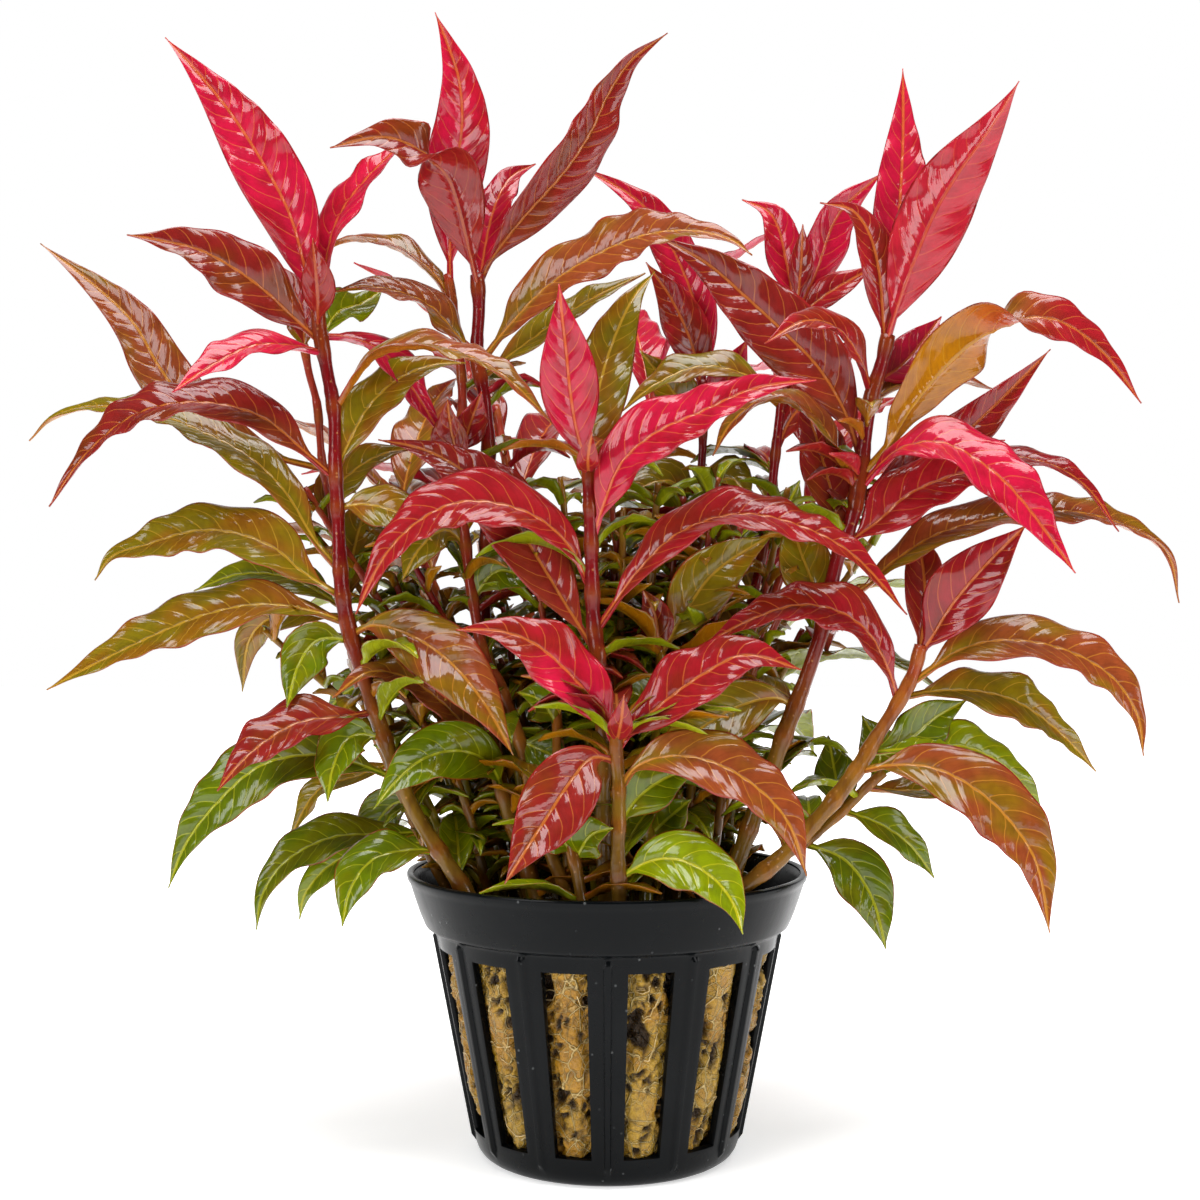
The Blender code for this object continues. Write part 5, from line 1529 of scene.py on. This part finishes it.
@dataclass
class NetPot:
    """The slotted pot: a thin rim, a tapering collar, thirteen ribbed bars and a closed foot."""

    finish: bpy.types.Material
    slot_heights: Span = (3.9 * MM, 28.7 * MM)
    body: tuple[Span, Span] = ((18.2 * MM, 2.6 * MM), (23.7 * MM, 30.9 * MM))
    rib_half_width: float = 0.40 * MM
    rib_height: float = 0.45 * MM
    wall: float = 1.0 * MM
    edge: float = 0.16 * MM
    edge_angle: float = math.radians(50)
    crease_angle: float = math.radians(42)
    tiny: float = 1e-6
    upper: tuple[Span, ...] = (
        (26.55, 38.42), (26.75, 38.56), (27.1, 38.6), (27.42, 38.5), (27.5, 38.2), (27.38, 37.7),
        (27.12, 37.35), (26.95, 36.9), (26.4, 35.2), (25.75, 33.3), (25.1, 31.75), (24.9, 31.4),
        (24.6, 31.2), (24.1, 31.05), (23.82, 30.85), (23.66, 30.5))
    lower: tuple[Span, ...] = (
        (18.05, 1.9), (17.8, 1.2), (17.35, 0.55), (16.8, 0.15), (16.3, 0.0), (15.2, 0.0), (14.6, 0.25),
        (10.0, 0.3), (5.0, 0.3), (1.6, 0.3))

    def radius_at(self, height: float) -> float:
        """The body's outer radius at a height."""
        (low_r, low_z), (top_r, top_z) = self.body
        return low_r + (top_r - low_r) * (height - low_z) / (top_z - low_z)

    def angles(self) -> np.ndarray:
        """The angles of one bar and its slots, about the bar's middle.

        Returns:
            The angles in radians, from one slot's middle almost to the next.
        """
        half_pitch = math.pi / SLOTS
        bar = half_pitch - SLOT_HALF_ANGLE
        rib = self.rib_half_width / self.body[1][0]
        half = [rib * 0.85, rib * 1.5, bar * 0.45, bar * 0.72, bar, half_pitch - SLOT_HALF_ANGLE * 0.62,
                half_pitch - SLOT_HALF_ANGLE * 0.3]
        return np.array([-half_pitch] + [-a for a in half[::-1]] + half)

    def shell(self) -> bpy.types.Mesh:
        """The pot's outer side, with its slots cut out.

        Returns:
            The open mesh.
        """
        low, high = self.slot_heights
        middle = [29.9, 29.3, high / MM] + list(np.linspace(27, 6, 9)) + [low / MM, 3.3, 2.7]
        rows = [(r, z, 0.0) for r, z in self.upper]
        rows += [(self.radius_at(z * MM) / MM, z, 1.0) for z in middle]
        rows += [(r, z, 0.0) for r, z in self.lower]
        local = self.angles()
        pitch = 2 * math.pi / SLOTS
        turns = np.concatenate([local + pitch * i for i in range(SLOTS)])
        on_rib = np.tile(np.abs(local) < self.rib_half_width / self.body[1][0], SLOTS)
        bm = bmesh.new()
        grid = []
        for r, z, ribbed in rows:
            reach = r * MM + self.rib_height * ribbed * on_rib
            spots = zip(reach, turns)
            grid.append([bm.verts.new((a * math.sin(t), -a * math.cos(t), z * MM)) for a, t in spots])
        count = len(turns)
        bar = math.pi / SLOTS - SLOT_HALF_ANGLE
        for j in range(len(rows) - 1):
            for i in range(count):
                middle_turn = local[i % len(local)] + 1e-4
                open_here = low - self.tiny < rows[j + 1][1] * MM and rows[j][1] * MM < high + self.tiny
                if open_here and (middle_turn > bar or middle_turn < -bar - self.tiny):
                    continue
                after = (i + 1) % count
                bm.faces.new((grid[j][i], grid[j + 1][i], grid[j + 1][after], grid[j][after]))
        bm.faces.new(grid[-1][::-1])
        loose = [vert for vert in bm.verts if not vert.link_faces]
        bmesh.ops.delete(bm, geom=loose, context="VERTS")
        bm.normal_update()
        mesh = bpy.data.meshes.new("net_pot")
        bm.to_mesh(mesh)
        bm.free()
        return mesh

    def build(self) -> None:
        """Make the pot from its slotted shell, which gets its wall and its rounded edges."""
        obj = add_object("net_pot", self.shell())
        wall = obj.modifiers.new("wall", "SOLIDIFY")
        wall.thickness = self.wall
        wall.offset = -1
        rounding = obj.modifiers.new("edges", "BEVEL")
        rounding.width = self.edge
        rounding.segments = 2
        rounding.angle_limit = self.edge_angle
        obj = plain(obj)
        obj.data.materials.clear()
        obj.data.materials.append(self.finish)
        obj.data.shade_smooth()
        obj.data.set_sharp_from_angle(angle=self.crease_angle)
        place(obj, ["pot"], "pot")


def plain(obj: bpy.types.Object) -> bpy.types.Object:
    """Apply an object's modifiers.

    Args:
        obj: The object.

    Returns:
        The same object, as a plain mesh.
    """
    bpy.context.view_layer.update()
    graph = bpy.context.evaluated_depsgraph_get()
    mesh = bpy.data.meshes.new_from_object(obj.evaluated_get(graph))
    obj.modifiers.clear()
    old = obj.data
    obj.data = mesh
    bpy.data.meshes.remove(old)
    mesh.name = obj.name
    return obj


@dataclass
class GrowingMedium:
    """The fibrous plug, with its lumps, hollows and fine roots."""

    finish: bpy.types.Material
    root_finish: bpy.types.Material
    columns: int = 470
    rows: int = 185
    lump: float = 0.95 * MM
    pit: float = 1.5 * MM
    net: float = 1.3 * MM
    fine: float = 0.42 * MM
    bulge: float = 0.9 * MM
    highest: float = 0.25 * MM
    bend_waves: Xyz = (0.35, 0.35, 0.35)
    net_waves: Xyz = (0.70, 0.70, 0.48)
    open_waves: Xyz = (0.33, 0.33, 0.2)
    lump_waves: Xyz = (0.16, 0.16, 0.12)
    fine_waves: Xyz = (1.3, 1.3, 1.3)
    hole_waves: Xyz = (0.30, 0.30, 0.17)
    mesh_edge: float = 0.13
    hole_edge: float = 0.33
    # The most painted shade that a low place of the surface gets
    darkest_painted_shade: float = 0.45
    profile: tuple[Span, ...] = (
        (0.0, 33.0), (12.0, 32.9), (19.6, 32.6), (22.0, 31.6), (22.0, 30.0), (21.9, 28.0), (21.2, 24.0),
        (20.2, 19.0), (19.25, 14.0), (18.3, 9.0), (17.2, 5.0), (15.2, 2.6), (12.0, 1.5), (0.0, 1.4))

    def build(self) -> None:
        """Make the plug and its roots."""
        outline = Path([np.array([r, 0.0, z]) * MM for r, z in self.profile], 6)
        rows = np.linspace(0, outline.length, self.rows)[1:-1]
        line, heading = outline.at(rows), outline.heading(rows, 1 * MM)
        turns = np.arange(self.columns) * 2 * math.pi / self.columns
        radial = np.stack([np.sin(turns), -np.cos(turns), np.zeros_like(turns)], axis=-1)
        rings = radial[None] * line[:, :1, None] + UP * line[:, 2][:, None, None]
        outward = radial[None] * -heading[:, 2][:, None, None] + UP * heading[:, 0][:, None, None]
        push = np.zeros(rings.shape[:2])
        # How much painted shade each point gets, for the plug's finish
        hollow = np.zeros(rings.shape[:2])
        for j in range(rings.shape[0]):
            for i in range(rings.shape[1]):
                push[j, i], hollow[j, i] = self.relief(rings[j, i])
        fade = smooth(line[:, 0], 0.5 * MM, 5 * MM)[:, None]
        rings = rings + outward * (push * fade)[..., None]
        skin = Skin.lofted(rings, {"hollow": hollow})
        plug = skin.build("growing_medium_plug", self.finish)
        place(plug, ["growing_medium"], "growing_medium")
        roots = RootTree().build(plug, self.root_finish)
        place(roots, ["growing_medium"], "growing_medium")

    def relief(self, spot: np.ndarray) -> Span:
        """How a point of the plug is moved, and how much painted shade it gets.

        Args:
            spot: The point, on the plain plug.

        Returns:
            How far it is pushed out, and how much painted shade it then gets, from 0 to 1: most in holes and
            pits, a little in low places.
        """
        def paced(waves: Xyz, shift: Xyz = (0, 0, 0)) -> Xyz:
            """The point on a pattern that has this many waves a mm along each axis."""
            return tuple(value * 1000 * wave + by for value, wave, by in zip(spot, waves, shift))

        bend = noise.noise(paced(self.bend_waves))
        net = noise.voronoi(paced(self.net_waves, (bend, 0, bend)))[0]
        mesh_hole = held((net[1] - net[0] - self.mesh_edge) * 3.0)
        open_here = held(noise.noise(paced(self.open_waves, (0, 3, 0))) * 4 + 0.85)
        lumps = noise.noise(paced(self.lump_waves))
        fine = noise.noise(paced(self.fine_waves))
        hole = held((noise.noise(paced(self.hole_waves, (7, 0, 0))) - self.hole_edge) * 5.0)
        sunk = mesh_hole * open_here
        pitch = 2 * math.pi / SLOTS
        turn = math.atan2(spot[0], -spot[1]) / pitch
        from_slot = (0.5 - abs(turn - round(turn))) * pitch
        bulge = self.bulge * float(smooth(from_slot, SLOT_HALF_ANGLE, SLOT_HALF_ANGLE * 0.3))
        push = self.lump * (lumps * 1.1 - 0.1) + self.fine * fine - self.net * sunk - self.pit * hole
        # Painted shade: low places of the surface are darkened a little, holes and pits fully
        painted_dim = held(0.10 - 0.9 * fine - 0.3 * lumps, self.darkest_painted_shade)
        return min(push, self.highest) + bulge, min(hole + sunk + painted_dim, 1.0)


@dataclass(frozen=True)
class RootTree:
    """Thin pale roots that creep over the plug, as one node tree."""

    density: float = 30000.0
    length: float = 6.0 * MM
    radius: float = 0.075 * MM
    stray: float = 2.6 * MM
    lift: float = 0.12 * MM
    seed: int = 5
    points: int = 11
    sides: int = 4
    tilt: Xyz = (2.4, 2.4, 3.1)
    sizes: Span = (0.35, 1.2)
    bends: float = 260

    def given(self) -> dict[str, float]:
        """The node tree's inputs and their values."""
        return {"Density": self.density, "Length": self.length, "Radius": self.radius, "Stray": self.stray,
                "Lift": self.lift, "Seed": self.seed}

    def tree(self, material: bpy.types.Material) -> bpy.types.NodeTree:
        """The node tree, whose inputs are the plug's surface and the roots' sizes.

        Args:
            material: The roots' finish.

        Returns:
            The tree, which ends in realized instances with their material.
        """
        g = Graph(bpy.data.node_groups.new("creeping_roots", "GeometryNodeTree"))
        sockets = g.tree.interface
        sockets.new_socket("Geometry", in_out="INPUT", socket_type="NodeSocketGeometry")
        for name, value in self.given().items():
            kind = "NodeSocketInt" if isinstance(value, int) else "NodeSocketFloat"
            sockets.new_socket(name, in_out="INPUT", socket_type=kind)
        sockets.new_socket("Geometry", in_out="OUTPUT", socket_type="NodeSocketGeometry")
        given = g.add("NodeGroupInput").outputs
        plug, seed = given["Geometry"], given["Seed"]
        fed = {"Mesh": plug, "Density": given["Density"], "Seed": seed}
        spots = g.add("GeometryNodeDistributePointsOnFaces", fed).outputs["Points"]
        fed = {"Direction": (0, 0, 1), "Length": given["Length"]}
        line = g.add("GeometryNodeCurvePrimitiveLine", fed, mode="DIRECTION").outputs[0]
        root = g.add("GeometryNodeResampleCurve", {"Curve": line, "Count": self.points}).outputs[0]
        fed = {"Min": tuple(-turn for turn in self.tilt), "Max": self.tilt, "Seed": seed}
        tilt = g.add("FunctionNodeRandomValue", fed, data_type="FLOAT_VECTOR").outputs["Value"]
        fed = {"Min": self.sizes[0], "Max": self.sizes[1], "Seed": seed}
        size = g.add("FunctionNodeRandomValue", fed).outputs[1]
        fed = {"Points": spots, "Instance": root, "Rotation": tilt, "Scale": size}
        copies = g.add("GeometryNodeInstanceOnPoints", fed).outputs[0]
        loose = g.add("GeometryNodeRealizeInstances", {0: copies}).outputs[0]
        bends = g.add("ShaderNodeTexNoise", {"Scale": self.bends, "Detail": 1}).outputs["Color"]
        centred = g.vector("SUBTRACT", {0: bends, 1: (0.5, 0.5, 0.5)})
        strayed = g.vector("SCALE", {0: centred, "Scale": given["Stray"]})
        bent = g.add("GeometryNodeSetPosition", {"Geometry": loose, "Offset": strayed}).outputs[0]
        surface = g.add("GeometryNodeProximity", {0: plug}, target_element="FACES").outputs["Position"]
        creeping = g.add("GeometryNodeSetPosition", {"Geometry": bent, "Position": surface}).outputs[0]
        level = g.vector("MULTIPLY", {0: g.add("GeometryNodeInputPosition").outputs[0], 1: (1, 1, 0)})
        raised = g.vector("SCALE", {0: g.vector("NORMALIZE", {0: level}), "Scale": given["Lift"]})
        clear = g.add("GeometryNodeSetPosition", {"Geometry": creeping, "Offset": raised}).outputs[0]
        fed = {"Resolution": self.sides, "Radius": given["Radius"]}
        section = g.add("GeometryNodeCurvePrimitiveCircle", fed).outputs[0]
        fed = {"Curve": clear, "Profile Curve": section, "Fill Caps": True}
        tubes = g.add("GeometryNodeCurveToMesh", fed).outputs[0]
        real = g.add("GeometryNodeRealizeInstances", {0: tubes}).outputs[0]
        dressed = g.add("GeometryNodeSetMaterial", {"Geometry": real, "Material": material}).outputs[0]
        g.add("NodeGroupOutput", {0: dressed})
        return g.tree

    def build(self, plug: bpy.types.Object, material: bpy.types.Material) -> bpy.types.Object:
        """Grow the roots over a plug.

        Args:
            plug: The plug's object.
            material: The roots' finish.

        Returns:
            The roots as one plain mesh.
        """
        obj = add_object("fine_roots", plug.data.copy())
        grow = obj.modifiers.new("roots", "NODES")
        grow.node_group = self.tree(material)
        sizes = self.given()
        for item in grow.node_group.interface.items_tree:
            if item.in_out == "INPUT" and item.name in sizes:
                grow[item.identifier] = sizes[item.name]
        obj = plain(obj)
        obj.data.shade_smooth()
        return obj


@dataclass
class Studio:
    """A pale floor under plain soft light."""

    floor_size: float = 1.3
    floor_glow: float = 0.56
    glow_reach: Span = (0.03, 0.20)
    floor_colour: Rgb = (0.88, 0.88, 0.88)
    air: float = 0.07
    backdrop: float = 1.0
    backdrop_edge: Span = (0.55, 0.86)
    lamps: tuple[tuple[Xyz, float, float], ...] = (
        ((0.03, -0.12, 0.80), 0.54, 8.2),
        ((-0.55, -0.55, 0.38), 0.36, 2.7),
        ((0.62, -0.42, 0.22), 0.30, 1.4),
    )
    aim: Xyz = (0.0, 0.0, 0.085)

    def build(self) -> None:
        """Make the floor, the sky and the lights."""
        self.build_floor()
        self.build_sky()
        for number, (spot, size, power) in enumerate(self.lamps):
            data = bpy.data.lights.new(f"softbox_{number + 1}", "AREA")
            data.shape = "SQUARE"
            data.size = size
            data.energy = power
            lamp = add_object(data.name, data)
            away = np.array(spot) - np.array(self.aim)
            lamp.location = spot
            flat = math.hypot(away[0], away[1])
            lamp.rotation_euler = (math.atan2(flat, away[2]), 0, math.atan2(away[0], -away[1]))
        bpy.context.scene.view_settings.view_transform = "Standard"

    def build_floor(self) -> None:
        """Make the floor, which glows into the white round it."""
        bm = bmesh.new()
        bmesh.ops.create_grid(bm, x_segments=8, y_segments=8, size=self.floor_size)
        mesh = bpy.data.meshes.new("studio_floor")
        bm.to_mesh(mesh)
        bm.free()
        s = Shader("studio_paper")
        s.set(Base_Color=self.floor_colour, Roughness=0.9, Specular_IOR_Level=0.1)
        spread = s.add("ShaderNodeVectorMath", {0: s.place()}, operation="LENGTH").outputs["Value"]
        glow = s.step(spread, *self.glow_reach, (self.floor_glow, 1.0))
        s.set(Emission_Color=(1.0, 1.0, 1.0), Emission_Strength=glow)
        mesh.materials.append(s.material)
        floor = add_object("studio_floor", mesh)

    def build_sky(self) -> None:
        """Make the air, which is white behind the plant and dim in front of it."""
        world = bpy.data.worlds.new("studio_air")
        world.use_nodes = True
        g = Graph(world.node_tree)
        background = g.tree.nodes["Background"].inputs
        sight = g.add("ShaderNodeTexCoord").outputs["Generated"]
        heading = g.add("ShaderNodeSeparateXYZ", {0: sight}).outputs
        g.feed(background["Color"], (1.0, 1.0, 1.0))
        g.feed(background["Strength"], g.step(heading["Y"], *self.backdrop_edge, (self.air, self.backdrop)))
        bpy.context.scene.world = world


def main() -> None:
    """Build the potted plant and its studio."""
    EYE.build()
    Studio().build()
    NetPot(PotFinish().build()).build()
    root_finish = PlainFinish("fine_root", (0.72, 0.55, 0.27), (0.50, 0.34, 0.12), 0.35).build()
    GrowingMedium(MediumFinish().build(), root_finish).build()
    foliage = Foliage(LeafFinish().build(), StemFinish().build())
    foliage.build_sighted()
    foliage.build_hidden()


if __name__ == "__main__":
    main()
